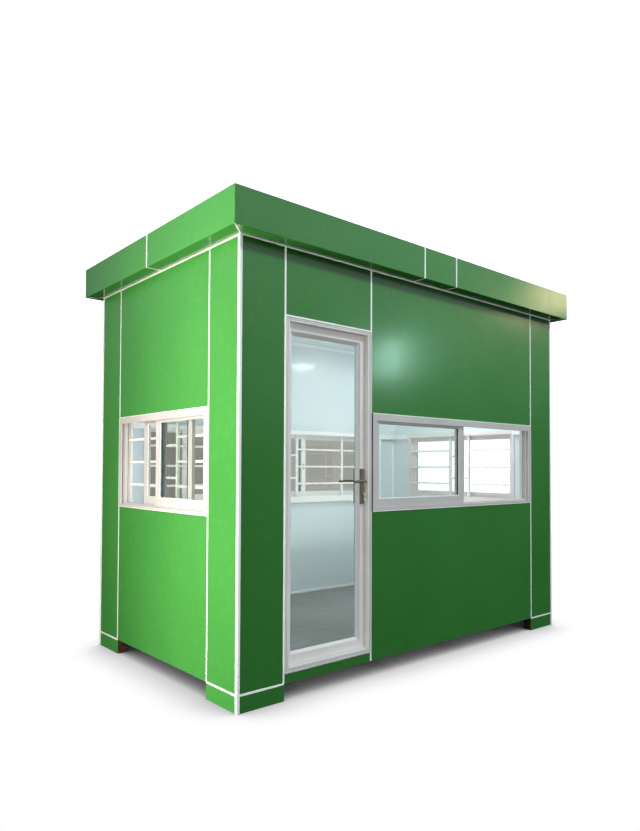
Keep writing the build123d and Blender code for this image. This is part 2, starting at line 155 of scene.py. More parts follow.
dress(["floor_deck"], sheet_vinyl(), radius=1.0)


# Outer skin: aluminium composite panel, folded into trays over the steel frame. The sheet is coil coated in
# green, satin to the touch, and it lies a little wavy, so reflections bend gently.
def composite_panel():
    """Coil coated aluminium composite: waves 620 mm long, rolling marks 9 mm apart that run up and down, a
    paint grain of 2 mm, and dust in patches of 45 mm."""
    material, tree, places = start_finish("green_composite_panel")
    wave = add(tree, "TexNoise", {"Vector": places, "Scale": 1 / (620 * MM), "Detail": 1.0})
    waves = add(tree, "MapRange", {"Value": wave, "From Min": 0.3, "From Max": 0.7})
    upright = add(tree, "Mapping", {"Vector": places, "Scale": (1, 1, 0.02)})
    rolled = add(tree, "TexNoise", {"Vector": upright, "Scale": 1 / (9 * MM), "Detail": 2.0})
    satin = add(tree, "MapRange", {"Value": rolled, "From Min": 0.3, "From Max": 0.7, "To Min": 0.20,
                                   "To Max": 0.27})
    grain = add(tree, "TexNoise", {"Vector": places, "Scale": 1 / (2.2 * MM), "Detail": 2.0})
    film = add(tree, "TexNoise", {"Vector": places, "Scale": 1 / (45 * MM), "Detail": 5.0})
    dust = add(tree, "MapRange", {"Value": film, "From Min": 0.5, "From Max": 0.8, "To Max": 0.10})
    paint = add(tree, "Mix", {"Factor_Float": waves, "A_Color": linear("428F3F"),
                              "B_Color": linear("479543")}, data_type="RGBA")
    colour = add(tree, "Mix", {"Factor_Float": dust, "A_Color": paint, "B_Color": linear("78B670")},
                 data_type="RGBA")
    height = add(tree, "Math", {"Value": grain, "Value_001": 0.004, "Value_002": waves},
                 operation="MULTIPLY_ADD")
    bump = add(tree, "Bump", {"Height": height, "Distance": 2.2 * MM})
    shader = add(tree, "BsdfPrincipled", {
        "Base Color": colour, "Roughness": satin, "Normal": bump, "IOR": 1.5, "Specular IOR Level": 0.55,
        "Coat Weight": 0.28, "Coat Roughness": 0.13})
    add(tree, "OutputMaterial", {"Surface": shader})
    return material


green = composite_panel()
posts = ["corner_post_" + corner for corner in ("front_left", "front_right", "back_left", "back_right")]
WALLS = {"front": 0, "right": 90, "back": 180, "left": 270}
wall_panels = [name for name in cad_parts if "_panel_" in name]
fascias = ["fascia_" + wall for wall in WALLS]
dress(["foot_skirts"] + posts + wall_panels, green, radius=0.8)
dress(fascias, green, radius=1.6)


# Panel joints: the 12 mm gap between two trays is filled with white silicone, tooled by hand to a shallow
# dome, so its width wanders by most of a millimetre. Under the long soffits the joint is only 8 mm wide.
JOINT_WIDTH = 12.0
JOINT_RISE = 1.0
JOINT_STEP = 55.0
JOINT_WANDER = 0.07
WANDER_WAVES = (9.1, 23.7)
WANDER_SHIFT = 7.0
SOFFIT_JOINTS = {"front": 8.0, "back": 8.0, "left": 12.0, "right": 12.0}
half_width = -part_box("corner_post_front_left")[0].x
half_depth = -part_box("corner_post_front_left")[0].y
post_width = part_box("corner_post_front_left")[1].x + half_width
wall_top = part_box("corner_post_front_left")[1].z
foot_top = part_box("foot_skirts")[1].z
roof_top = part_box("fascia_front")[1].z
overhang = -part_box("fascia_front")[0].x - half_width
door_low, door_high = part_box("door_frame")
FACE = {"front": half_depth, "back": half_depth, "left": half_width, "right": half_width}
HALF = {"front": half_width, "back": half_width, "left": half_depth, "right": half_depth}


def spot(wall, u, v, z):
    """A place on a wall: u along it, to the right seen from outside, v inward from its face, z up. x and y
    are u and v less the face's distance, turned by the wall's angle about the booth's middle."""
    turn = math.radians(WALLS[wall])
    u, v, z = np.broadcast_arrays(*[np.asarray(w, float) for w in (u, v, z)])
    v = v - FACE[wall]
    x = u * math.cos(turn) - v * math.sin(turn)
    y = u * math.sin(turn) + v * math.cos(turn)
    return np.stack([x, y, z], -1)


def skin(name, grids, material, body="root", loop=False, smooth=35.0):
    """A piece made of closed skins. Each grid's row is a closed outline; rows are joined one to the next,
    and then the ends are capped, or with loop the last row is joined to the first."""
    points, faces, first = [], [], 0
    for grid in grids:
        rows, columns = grid.shape[:2]
        index = first + np.arange(rows * columns).reshape(rows, columns)
        index = np.concatenate([index, index[:, :1]], 1)
        if loop:
            index = np.concatenate([index, index[:1]], 0)
        corners = [index[:-1, :-1], index[:-1, 1:], index[1:, 1:], index[1:, :-1]]
        faces += np.stack(corners, -1).reshape(-1, 4).tolist()
        if not loop:
            faces += [index[0, :-1].tolist(), index[-1, :-1].tolist()]
        points.append(grid.reshape(-1, 3))
        first += rows * columns
    mesh = bpy.data.meshes.new(name)
    mesh.from_pydata(np.concatenate(points).tolist(), [], faces)
    whole = bmesh.new()
    whole.from_mesh(mesh)
    bmesh.ops.recalc_face_normals(whole, faces=whole.faces)
    whole.to_mesh(mesh)
    whole.free()
    mesh.shade_smooth()
    mesh.set_sharp_from_angle(angle=math.radians(smooth))
    mesh.materials.append(material)
    piece = bpy.data.objects.new(name, mesh)
    bpy.context.scene.collection.objects.link(piece)
    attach(piece, body)
    return piece


def unit(vector):
    """A direction: the vector over its own length."""
    return np.asarray(vector, float) / np.linalg.norm(vector)


def dome(width, rise, sunk=0.6, count=7):
    """A bead's section: across is half the width times the cosine and rise the height times the sine of an
    angle from 0 to 180 degrees, closed by two points under the surface."""
    angle = np.linspace(0, math.pi, count)
    top = np.stack([width / 2 * np.cos(angle), rise * np.sin(angle)], 1)
    return np.vstack([top, [-width / 2, -sunk], [width / 2, -sunk]]) * MM


def strip(start, end, out, section, wander=0.0, step=None):
    """A straight strip. Its points are start + t (end - start) + across * side + height * out, where side
    is square to the run and to out. wander widens and narrows it by that share, in two waves."""
    start = np.asarray(start, float)
    end = np.asarray(end, float)
    length = np.linalg.norm(end - start)
    side = np.cross(unit(end - start), out)
    count = 2 if step is None else max(2, int(length / (step * MM)) + 1)
    t = np.linspace(0, 1, count)[:, None, None]
    shift = WANDER_SHIFT * start.sum()
    slow, quick = [wave * length * t for wave in WANDER_WAVES]
    width = 1 + wander * (np.sin(shift + slow) + np.sin(2 * shift + quick)) / 2
    across = section[None, :, :1] * width
    return start + t * (end - start) + across * side + section[None, :, 1:] * np.asarray(out, float)


def wall_out(wall):
    """The direction straight out of a wall."""
    return spot(wall, 0, -1, 0) - spot(wall, 0, 0, 0)


def wall_right(wall):
    """The direction along a wall, to the right seen from outside."""
    return spot(wall, 1, 0, 0) - spot(wall, 0, 0, 0)


def seam(wall, u0, z0, u1, z1, lift=0.0, width=JOINT_WIDTH):
    """A silicone joint on a wall from one place to another, lift metres out from the wall's face."""
    return strip(spot(wall, u0, -lift, z0), spot(wall, u1, -lift, z1), wall_out(wall),
                 dome(width, JOINT_RISE), wander=JOINT_WANDER, step=JOINT_STEP)


def silicone():
    """Neutral cure silicone: slightly glossy white, with faint tool ripples 18 mm long and grime in patches
    of 70 mm."""
    material, tree, places = start_finish("white_silicone")
    ripple = add(tree, "TexNoise", {"Vector": places, "Scale": 1 / (18 * MM), "Detail": 3.0})
    soil = add(tree, "TexNoise", {"Vector": places, "Scale": 1 / (70 * MM), "Detail": 6.0})
    grime = add(tree, "MapRange", {"Value": soil, "From Min": 0.52, "From Max": 0.8, "To Max": 0.3})
    colour = add(tree, "Mix", {"Factor_Float": grime, "A_Color": linear("F7F8F1"),
                               "B_Color": linear("D8D9CF")}, data_type="RGBA")
    bump = add(tree, "Bump", {"Height": ripple, "Distance": 0.25 * MM})
    shader = add(tree, "BsdfPrincipled", {"Base Color": colour, "Roughness": 0.38, "IOR": 1.41,
                                          "Subsurface Weight": 0.05, "Normal": bump})
    add(tree, "OutputMaterial", {"Surface": shader})
    return material


sealant = silicone()
for wall in WALLS:
    edge = HALF[wall] - post_width
    panel_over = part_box(wall + "_panel_over_window")
    panel_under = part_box(wall + "_panel_under_window")
    head = panel_over[0].z
    sill = panel_under[1].z
    lines = [seam(wall, s * edge, foot_top, s * edge, wall_top) for s in (-1, 1)]
    lines += [seam(wall, s * edge, foot_top, s * HALF[wall], foot_top) for s in (-1, 1)]
    joint_top = wall_top - SOFFIT_JOINTS[wall] / 2 * MM
    lines.append(seam(wall, -HALF[wall], joint_top, HALF[wall], joint_top, width=SOFFIT_JOINTS[wall]))
    if wall in ("front", "back"):
        between_trays = door_high.x if wall == "front" else 0.0
        lines.append(seam(wall, between_trays, foot_top, between_trays, sill))
        lines.append(seam(wall, between_trays, head, between_trays, wall_top))
    if wall == "front":
        lines += [seam(wall, door_low.x, z, door_high.x, z) for z in (door_low.z, door_high.z)]
    skin(wall + "_panel_joints", lines, sealant)


# Corner beads: a white plastic angle over each corner, glued from the ground to the roof. It is 18 mm wide
# on the short walls and 16 mm on the long ones, with a rounded nose.
BEAD_LONG_WALL = 16.0
BEAD_SHORT_WALL = 18.0
BEAD_PROUD = 1.4
BEAD_SUNK = 1.0
BEAD_EASE = 0.6


def corner_section():
    """The bead's outline at a corner that points to +x and +y: two legs with half round ends, joined by a
    quarter circle about the corner itself."""
    nose = np.linspace(0, math.pi / 2, 6)
    radius, shoulder, sunk = BEAD_PROUD, BEAD_PROUD * BEAD_EASE, BEAD_SUNK
    return np.vstack([
        [[-BEAD_LONG_WALL, -sunk], [-BEAD_LONG_WALL, shoulder], [-BEAD_LONG_WALL + 1, radius]],
        np.stack([radius * np.sin(nose), radius * np.cos(nose)], 1),
        [[radius, -BEAD_SHORT_WALL + 1], [shoulder, -BEAD_SHORT_WALL], [-sunk, -BEAD_SHORT_WALL],
         [-sunk, -sunk]],
    ]) * MM


def hard_plastic():
    """Extruded white PVC: smooth, with a soft sheen and draw marks 3 mm apart along its length."""
    material, tree, places = start_finish("white_extruded_plastic")
    along = add(tree, "Mapping", {"Vector": places, "Scale": (1, 1, 0.01)})
    drawn = add(tree, "TexNoise", {"Vector": along, "Scale": 1 / (3 * MM), "Detail": 3.0})
    marks = add(tree, "MapRange", {"Value": drawn, "From Min": 0.3, "From Max": 0.7})
    colour = add(tree, "Mix", {"Factor_Float": marks, "A_Color": linear("EDEFEF"),
                               "B_Color": linear("F4F6F6")}, data_type="RGBA")
    sheen = add(tree, "MapRange", {"Value": marks, "To Min": 0.26, "To Max": 0.36})
    shader = add(tree, "BsdfPrincipled", {"Base Color": colour, "Roughness": sheen, "IOR": 1.53})
    add(tree, "OutputMaterial", {"Surface": shader})
    return material


plastic = hard_plastic()
beads = []
for side_x in (-1, 1):
    for side_y in (-1, 1):
        outline = corner_section() * [side_x, side_y] + [side_x * half_width, side_y * half_depth]
        heights = np.array([0.0, wall_top])[:, None, None]
        flat = np.broadcast_to(outline[None], (2,) + outline.shape)
        beads.append(np.concatenate([flat, np.broadcast_to(heights, flat.shape[:2] + (1,))], -1))
skin("corner_beads", beads, plastic)


# Roof edge: each fascia tray is folded from one sheet, outer face, top and soffit. Trays butt at the middle
# of the short sides and 160 mm each side of the middle of the long ones, and meet in mitres at the corners.
FASCIA_JOINT = 160.0
MITRE_SHORT = 4.0
MITRE_WIDTH = 8.4
FLAT_RISE = 0.8
edge_lines = []
for wall in WALLS:
    joints = (-FASCIA_JOINT * MM, FASCIA_JOINT * MM) if wall in ("front", "back") else (0.0,)
    for u in joints:
        edge_lines.append(seam(wall, u, wall_top, u, roof_top, lift=overhang))
        for z, up in ((wall_top, -1.0), (roof_top, 1.0)):
            edge_lines.append(strip(spot(wall, u, -overhang, z), spot(wall, u, 0, z), [0, 0, up],
                                    dome(JOINT_WIDTH, FLAT_RISE), wander=JOINT_WANDER, step=JOINT_STEP))
    reach = HALF[wall]
    out = overhang - MITRE_SHORT * MM
    for z, up in ((wall_top, -1.0), (roof_top, 1.0)):
        edge_lines.append(strip(spot(wall, reach, 0, z), spot(wall, reach + out, -out, z), [0, 0, up],
                                dome(MITRE_WIDTH, FLAT_RISE), wander=JOINT_WANDER, step=JOINT_STEP))
skin("fascia_joints", edge_lines, sealant)


# Roof: a ribbed steel sheet in the tray behind the fascia, with ribs every 200 mm from front to back. It is
# zinc and aluminium coated, so it shows a dull spangle. It lies 1.2 mm over the slab's own ribs.
RIB_PITCH = 200.0
RIB_HEIGHT = 12.0
RIB_STEEPNESS = 1.6
RIB_NARROWNESS = 9.0
SHEET_LIFT = 1.2
SHEET_SUNK = 0.5
SHEET_MARGIN = 6.0
SHEET_POINTS = 421
EDGE_SEAL = (14.0, 9.0)
EDGE_SEAL_INSET = 4.0
EDGE_SEAL_WANDER = 0.1
roof_low, roof_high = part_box("roof_slab")
roof_pan = roof_high.z - RIB_HEIGHT * MM


def ribbed_sheet():
    """The sheet's height over x: flat pans with ribs, each rib a sine bump held flat on top by clipping it.
    The outline goes along the top and back along the underside, which lies on the deck."""
    margin = SHEET_MARGIN * MM
    x = np.linspace(roof_low.x + margin, roof_high.x - margin, SHEET_POINTS)
    phase = ((x / (RIB_PITCH * MM)) % 1.0) - 0.5
    swing = np.clip(phase * RIB_NARROWNESS, -math.pi / 2, math.pi / 2)
    rib = np.clip(RIB_STEEPNESS * np.cos(swing), 0, 1)
    top = roof_pan + (SHEET_LIFT + RIB_HEIGHT * rib) * MM
    outline = np.stack([np.concatenate([x, x[::-1]]),
                        np.concatenate([top, np.full_like(x, roof_pan - SHEET_SUNK * MM)])], 1)
    y = np.array([roof_low.y + margin, roof_high.y - margin])
    rows = np.broadcast_to(outline[None, :, None, :], (2, len(outline), 1, 2))[:, :, 0]
    return np.stack([rows[..., 0], np.broadcast_to(y[:, None], rows.shape[:2]), rows[..., 1]], -1)


def zinc_sheet():
    """Zinc and aluminium coating: metal crystals 7 mm across that differ in brightness, dulled by weather
    in patches of 180 mm."""
    material, tree, places = start_finish("zinc_aluminium_sheet")
    spangle = add(tree, "TexVoronoi", {"Vector": places, "Scale": 1 / (7 * MM)}, out="Color")
    weather = add(tree, "TexNoise", {"Vector": places, "Scale": 1 / (180 * MM), "Detail": 5.0})
    stain = add(tree, "MapRange", {"Value": weather, "From Min": 0.3, "From Max": 0.7})
    bright = add(tree, "Mix", {"Factor_Float": 0.12, "A_Color": linear("A9ADAC"), "B_Color": spangle},
                 data_type="RGBA")
    dulled = add(tree, "Math", {"Value": stain, "Value_001": 0.5}, operation="MULTIPLY")
    colour = add(tree, "Mix", {"Factor_Float": dulled, "A_Color": bright, "B_Color": linear("8F9391")},
                 data_type="RGBA")
    sheen = add(tree, "MapRange", {"Value": stain, "To Min": 0.38, "To Max": 0.55})
    shader = add(tree, "BsdfPrincipled", {"Base Color": colour, "Roughness": sheen, "Metallic": 0.85})
    add(tree, "OutputMaterial", {"Surface": shader})
    return material


zinc = zinc_sheet()
dress(["roof_slab"], zinc)
skin("ribbed_roof_sheet", [ribbed_sheet()], zinc)
inset = EDGE_SEAL_INSET * MM
edge_seals = [strip(spot(wall, -HALF[wall], inset, roof_pan), spot(wall, HALF[wall], inset, roof_pan),
                    [0, 0, 1], dome(*EDGE_SEAL), wander=EDGE_SEAL_WANDER, step=JOINT_STEP)
              for wall in WALLS]
skin("roof_edge_seal", edge_seals, sealant)


# Lining: pale blue-grey coated steel sheet on the inside of every wall and the ceiling. It is smooth and a
# little glossy, so lamps show in it as soft spots.
def lining_sheet():
    """Polyester coated steel sheet: roll grain of 4 mm and waves 700 mm long, with a clean satin gloss."""
    material, tree, places = start_finish("pale_lining_sheet")
    wave = add(tree, "TexNoise", {"Vector": places, "Scale": 1 / (700 * MM), "Detail": 1.0})
    waves = add(tree, "MapRange", {"Value": wave, "From Min": 0.3, "From Max": 0.7})
    grain = add(tree, "TexNoise", {"Vector": places, "Scale": 1 / (4 * MM), "Detail": 3.0})
    satin = add(tree, "MapRange", {"Value": grain, "From Min": 0.3, "From Max": 0.7, "To Min": 0.32,
                                   "To Max": 0.42})
    colour = add(tree, "Mix", {"Factor_Float": waves, "A_Color": linear("D3DFE2"),
                               "B_Color": linear("DAE5E7")}, data_type="RGBA")
    bump = add(tree, "Bump", {"Height": wave, "Distance": 1.2 * MM})
    shader = add(tree, "BsdfPrincipled", {"Base Color": colour, "Roughness": satin, "Normal": bump,
                                          "Coat Weight": 0.5, "Coat Roughness": 0.12})
    add(tree, "OutputMaterial", {"Surface": shader})
    return material


lining = lining_sheet()
dress([wall + "_lining" for wall in WALLS] + ["ceiling_board"], lining)


# Inside trims: a low white skirting, a cove along the ceiling and a quarter round bead in each corner, all
# of the same extruded plastic, stuck on. A deeper rail runs from the heads of the back and right windows to
# the corners.
WALL_THICKNESS = 80.0
SKIRTING_HEIGHT = 22.0
SKIRTING_THICKNESS = 6.0
COVE = 20.0
CORNER_ROUND = 12.0
RAIL_HEIGHT = 42.0
RAIL_THICKNESS = 30.0
CASING_OVERLAP = 12 * MM
lining_inner = WALL_THICKNESS * MM
floor_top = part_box("floor_deck")[1].z
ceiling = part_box("ceiling_board")[0].z


def quarter(radius, sunk=0.4):
    """A hollow quarter round's section, in the angle between two faces: the radius less the radius times
    the sine along one face and times the cosine along the other, closed by three points under the faces."""
    angle = np.linspace(0, math.pi / 2, 7)
    hollow = np.stack([radius * (1 - np.sin(angle)), radius * (1 - np.cos(angle))], 1)
    return np.vstack([hollow, [[-sunk, radius], [-sunk, -sunk], [radius, -sunk]]]) * MM


def bar(width, height, ease=1.0, sunk=0.4):
    """A flat bar's section with its two upper corners eased."""
    half = width / 2
    return np.array([[-half, -sunk], [-half, height - ease], [-half + ease, height], [half - ease, height],
                     [half, height - ease], [half, -sunk]]) * MM


trims = []
skirting = bar(SKIRTING_HEIGHT, SKIRTING_THICKNESS, ease=2)
skirting_z = floor_top + SKIRTING_HEIGHT / 2 * MM
cove = quarter(COVE)[None]
corner_bead = quarter(CORNER_ROUND)[None]
down = np.array([0, 0, -1.0])
t = np.array([0.0, 1.0])[:, None, None]
for wall in WALLS:
    reach = HALF[wall] - lining_inner
    inward = -wall_out(wall)
    ends = [(-reach, door_low.x), (door_high.x, reach)] if wall == "front" else [(-reach, reach)]
    for run_ends in ends:
        first, last = [spot(wall, u, lining_inner, skirting_z) for u in run_ends]
        trims.append(strip(first, last, inward, skirting))
    start = spot(wall, -reach, lining_inner, ceiling)
    run = spot(wall, reach, lining_inner, ceiling) - start
    trims.append(start + t * run + cove[..., :1] * inward + cove[..., 1:] * down)
    corner = spot(wall, -reach, lining_inner, floor_top) + t * (floor_top - ceiling) * down
    trims.append(corner + corner_bead[..., :1] * inward + corner_bead[..., 1:] * wall_right(wall))
rail_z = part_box("back_window_frame")[1].z - RAIL_HEIGHT / 2 * MM
for wall in ("back", "right"):
    casing_end = HALF[wall] - post_width + CASING_OVERLAP
    reach = HALF[wall] - lining_inner
    for side in (-1, 1):
        trims.append(strip(spot(wall, side * casing_end, lining_inner, rail_z),
                           spot(wall, side * reach, lining_inner, rail_z), -wall_out(wall),
                           bar(RAIL_HEIGHT, RAIL_THICKNESS, ease=2)))
skin("inside_trims", trims, plastic)


# Window frames and sashes: extruded aluminium, powder coated in warm white. Frames carry raised tracks on
# which the sashes slide, and the coating has a fine orange peel.
TRACKS = (19.0, 45.0, 58.0)
TRACK_WIDTH = 3.0
TRACK_HEIGHT = 8.0
FRAME_WEB = 20 * MM
FRAME_PROUD = 4.0


def powder_coat(name, dull, clean):
    """Polyester powder coat: orange peel 1.6 mm across, satin, with slow differences in tone and grime."""
    material, tree, places = start_finish(name)
    peel = add(tree, "TexNoise", {"Vector": places, "Scale": 1 / (1.6 * MM), "Detail": 1.0})
    slow = add(tree, "TexNoise", {"Vector": places, "Scale": 1 / (300 * MM), "Detail": 3.0})
    tone = add(tree, "MapRange", {"Value": slow, "From Min": 0.3, "From Max": 0.7})
    soil = add(tree, "TexNoise", {"Vector": places, "Scale": 1 / (24 * MM), "Detail": 6.0})
    grime = add(tree, "MapRange", {"Value": soil, "From Min": 0.58, "From Max": 0.8, "To Max": 0.2})
    paint = add(tree, "Mix", {"Factor_Float": tone, "A_Color": linear(dull), "B_Color": linear(clean)},
                data_type="RGBA")
    colour = add(tree, "Mix", {"Factor_Float": grime, "A_Color": paint, "B_Color": linear("CDCAC3")},
                 data_type="RGBA")
    satin = add(tree, "MapRange", {"Value": tone, "To Min": 0.30, "To Max": 0.38})
    bump = add(tree, "Bump", {"Height": peel, "Distance": 0.05 * MM})
    shader = add(tree, "BsdfPrincipled", {"Base Color": colour, "Roughness": satin, "Normal": bump,
                                          "IOR": 1.5})
    add(tree, "OutputMaterial", {"Surface": shader})
    return material


# The front and left windows take a darker copy of this coat and the back window a lighter one: painted
# shade and painted light that set their brightness against the lamps, while the coat itself is the same all
# round.
shade_darkened_coat = powder_coat("white_powder_coat_darkened_as_shade", "C0BCBA", "CAC7C5")
coat = powder_coat("warm_white_powder_coat", "DAD5D2", "E3DFDC")
light_brightened_coat = powder_coat("white_powder_coat_brightened_as_light", "ECECEA", "F4F4F3")
window_coats = {"front": shade_darkened_coat, "left": shade_darkened_coat, "right": coat, "back": light_brightened_coat}
for wall in WALLS:
    dress([wall + "_window_frame"], window_coats[wall], radius=1.2)
    dress([wall + "_window_sashes"], window_coats[wall], radius=2.0)


def wall_box(wall, points):
    """The lowest and highest u, v and z of some places, in a wall's own directions."""
    turn = math.radians(WALLS[wall])
    x, y, z = np.asarray(points, float).T
    u = x * math.cos(turn) + y * math.sin(turn)
    v = -x * math.sin(turn) + y * math.cos(turn) + FACE[wall]
    return [(w.min(), w.max()) for w in (u, v, z)]


def node_points(name):
    """All corners of a CAD piece as rows of x, y, z."""
    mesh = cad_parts[name].data
    places = np.zeros(len(mesh.vertices) * 3)
    mesh.vertices.foreach_get("co", places)
    return places.reshape(-1, 3)


def hoop(wall, box, section):
    """A strip round a rectangle with mitred corners. box is (left, right, bottom, top) on the wall, and
    each point of the section is (in, v): how far inward from the rectangle's edge, and how deep in the
    wall."""
    left, right, bottom, top = box
    corner_u = np.array([left, right, right, left])[:, None]
    corner_z = np.array([bottom, bottom, top, top])[:, None]
    sign_u = np.array([1, -1, -1, 1])[:, None]
    sign_z = np.array([1, 1, -1, -1])[:, None]
    inset = section[None, :, 0]
    return spot(wall, corner_u + sign_u * inset, np.broadcast_to(section[None, :, 1], (4, len(section))),
                corner_z + sign_z * inset)


def rib_section(middle, width, height, ease=0.8, sunk=1.0):
    """A rib that stands height into the opening, about the depth middle in the wall, with eased corners."""
    low, high = middle - width / 2, middle + width / 2
    return np.array([[-sunk, low], [height - ease, low], [height, low + ease], [height, high - ease],
                     [height - ease, high], [-sunk, high]]) * MM


bays = {}
for wall in WALLS:
    span = wall_box(wall, node_points(wall + "_window_frame"))
    bays[wall] = (span[0][0] + CASING_OVERLAP, span[0][1] - CASING_OVERLAP,
                  span[2][0] + CASING_OVERLAP, span[2][1] - CASING_OVERLAP)
    left, right, bottom, top = bays[wall]
    inner = (left + FRAME_WEB, right - FRAME_WEB, bottom + FRAME_WEB, top - FRAME_WEB)
    tracks = [hoop(wall, inner, rib_section(depth, TRACK_WIDTH, TRACK_HEIGHT)) for depth in TRACKS]
    skin(wall + "_window_tracks", tracks, window_coats[wall], loop=True)


# Frame sealant: a fillet of the same silicone round each window and the door, where the lip meets the
# panel, tooled by hand.
FILLET = np.array([[3.4, -3.9], [2.6, -4.8], [1.0, -4.9], [-1.0, -3.6], [-2.2, -1.6], [-2.6, 0.4],
                   [0.6, 0.4], [0.6, -3.9]]) * MM
around = [hoop(wall, bays[wall], FILLET) for wall in WALLS if wall != "front"]
skin("frame_sealant", around, sealant, loop=True, smooth=60)
# In front a dark gap stays open between door and window, so their runs leave out the sides along it.
door_box = (door_low.x, door_high.x, door_low.z, door_high.z)
open_left = hoop("front", bays["front"], FILLET)
open_right = np.roll(hoop("front", door_box, FILLET), -2, axis=0)
skin("front_frame_sealant", [open_left, open_right], sealant, smooth=60)


# Glass: clear 5 mm float in the windows and 6 mm in the door, very slightly green. A wedge of soft white
# PVC holds it on both faces.
def float_glass():
    """Float glass. Each face mirrors 4 percent head on, and more as the view grows slanting: the rest times
    the fifth power of one less the cosine. What passes is very slightly green."""
    material, tree = start_finish("clear_float_glass")[:2]
    slant = add(tree, "LayerWeight", {"Blend": 0.5}, out="Facing")
    fifth = add(tree, "Math", {"Value": slant, "Value_001": 5.0}, operation="POWER")
    share = add(tree, "MapRange", {"Value": fifth, "To Min": 0.04, "To Max": 1.0})
    clear = add(tree, "BsdfTransparent", {"Color": linear("FBFDFC")})
    mirror = add(tree, "BsdfGlossy", {"Color": linear("FFFFFF"), "Roughness": 0.02})
    pane = add(tree, "MixShader", {"Fac": share, "Shader": clear, "Shader_001": mirror})
    add(tree, "OutputMaterial", {"Surface": pane})
    return material


def gasket_and_shade_finish(name, dark, light):
    """Matt finish with a dusty bloom in patches of 12 mm: for extruded gaskets of rubber or soft PVC, and
    for the grey and black strips that paint shade.
    """
    material, tree, places = start_finish(name)
    bloom = add(tree, "TexNoise", {"Vector": places, "Scale": 1 / (12 * MM), "Detail": 5.0})
    dusty = add(tree, "MapRange", {"Value": bloom, "From Min": 0.3, "From Max": 0.7})
    colour = add(tree, "Mix", {"Factor_Float": dusty, "A_Color": linear(dark), "B_Color": linear(light)},
                 data_type="RGBA")
    shader = add(tree, "BsdfPrincipled", {"Base Color": colour, "Roughness": 0.7})
    add(tree, "OutputMaterial", {"Surface": shader})
    return material


glass = float_glass()
white_gasket = gasket_and_shade_finish("white_glazing_gasket", "D3DCDA", "E6EDEB")
grey_crease_shade = gasket_and_shade_finish("grey_painted_crease_shade", "7E8583", "98A09D")
dress([wall + "_window_panes" for wall in WALLS] + ["door_glass"], glass)
WEDGE = 3.2


def wedge_sections(front, back):
    """Two wedge sections against a pane's faces: each fills the corner between the glass and its frame. It
    starts a tenth of a millimetre off the glass, and towards the pane's middle it thins to half."""
    return [np.array([[-0.5, face + out * 0.1], [WEDGE, face + out * 0.1], [WEDGE * 0.7, face + out * 1.6],
                      [-0.5, face + out * WEDGE]]) * MM for face, out in ((front, -1), (back, 1))]


def split_by_depth(wall, name):
    """The boxes of a node's outer and inner solid, told apart by their depth in the wall."""
    corners = node_points(name)
    turn = math.radians(WALLS[wall])
    depth = -corners[:, 0] * math.sin(turn) + corners[:, 1] * math.cos(turn)
    middle = (depth.min() + depth.max()) / 2
    return wall_box(wall, corners[depth < middle]), wall_box(wall, corners[depth > middle])


wedges = []
for wall in WALLS:
    for (left, right), (front, back), (bottom, top) in split_by_depth(wall, wall + "_window_panes"):
        wedges += [hoop(wall, (left, right, bottom, top), section)
                   for section in wedge_sections(front / MM, back / MM)]
skin("glazing_wedges", wedges, white_gasket, loop=True)


# Sash locks: a zinc crescent on the meeting stile of each inner sash, painted like the sash. Its body is
# screwed to the stile, and its arm turns into a keeper on the other sash.
LOCK_BODY = (14.0, 54.0, 9.0)
LOCK_INSET = 22.0
ARM_RADIUS = 17.0
ARM_SPREAD = 150.0
ARM_THICKNESS = 3.6
ARM_TIP = 0.12
ARM_SUNK = 2.5
SASH_HANDS = (("front", 1), ("left", -1), ("right", 1), ("back", 1))


def crescent_lock(wall, u, v, z, hand):
    """The body is a bar up the stile. The arm's points go round a circle about the body's middle, over 150
    degrees, and its round section thins towards the tip as the square root of what is left."""
    width, height, depth = LOCK_BODY
    inward = -wall_out(wall)
    along = hand * wall_right(wall)
    half = height / 2 * MM
    body = strip(spot(wall, u, v, z - half), spot(wall, u, v, z + half), inward, bar(width, depth, ease=3))
    turn = np.radians(np.linspace(-90, -90 + ARM_SPREAD, 15))
    centre = spot(wall, u, v + (depth - ARM_SUNK) * MM, z)
    outward = np.cos(turn)[:, None] * along + np.sin(turn)[:, None] * [0, 0, 1.0]
    path = centre + ARM_RADIUS * MM * outward
    thick = ARM_THICKNESS * MM * np.sqrt(np.linspace(1.0, ARM_TIP, 15))[:, None, None]
    ring = np.linspace(0, 2 * math.pi, 10, endpoint=False)[None, :, None]
    return [body, path[:, None] + thick * (np.cos(ring) * outward[:, None] + np.sin(ring) * inward)]


locks = []
for wall, hand in SASH_HANDS:
    (left, right), (front, back), (bottom, top) = split_by_depth(wall, wall + "_window_sashes")[1]
    stile = left + LOCK_INSET * MM if hand > 0 else right - LOCK_INSET * MM
    locks += crescent_lock(wall, stile, back, (bottom + top) / 2, -hand)
skin("sash_locks", locks, coat)


# Interlocks: a black rubber strip in the meeting stile of each sash, where it hooks into the other one. It
# stands for the real seal there, and its black is also painted shade for the gap. It stands 3 mm out of the
# stile beside the glass, and fills the depth from the wedge to the other sash.
INTERLOCK_PROUD = 3.0
INTERLOCK_DEPTH = 8.9
INTERLOCK_OUTER = 29.35
INTERLOCK_INNER = 34.65
black_rubber_and_shade = gasket_and_shade_finish("black_rubber_and_painted_shade", "17181A", "2A2B2D")
interlock_strips_and_shade = []
for wall, hand in SASH_HANDS:
    panes = split_by_depth(wall, wall + "_window_panes")
    for pane, end, depth in zip(panes, (hand, -hand), (INTERLOCK_OUTER, INTERLOCK_INNER)):
        edge = pane[0][1] if end > 0 else pane[0][0]
        low_end, high_end = [spot(wall, edge, depth * MM, z) for z in pane[2]]
        interlock_strips_and_shade.append(strip(low_end, high_end, -end * wall_right(wall),
                                bar(INTERLOCK_DEPTH, INTERLOCK_PROUD, sunk=0.5)))
skin("sash_interlock_strips_and_shade", interlock_strips_and_shade, black_rubber_and_shade)


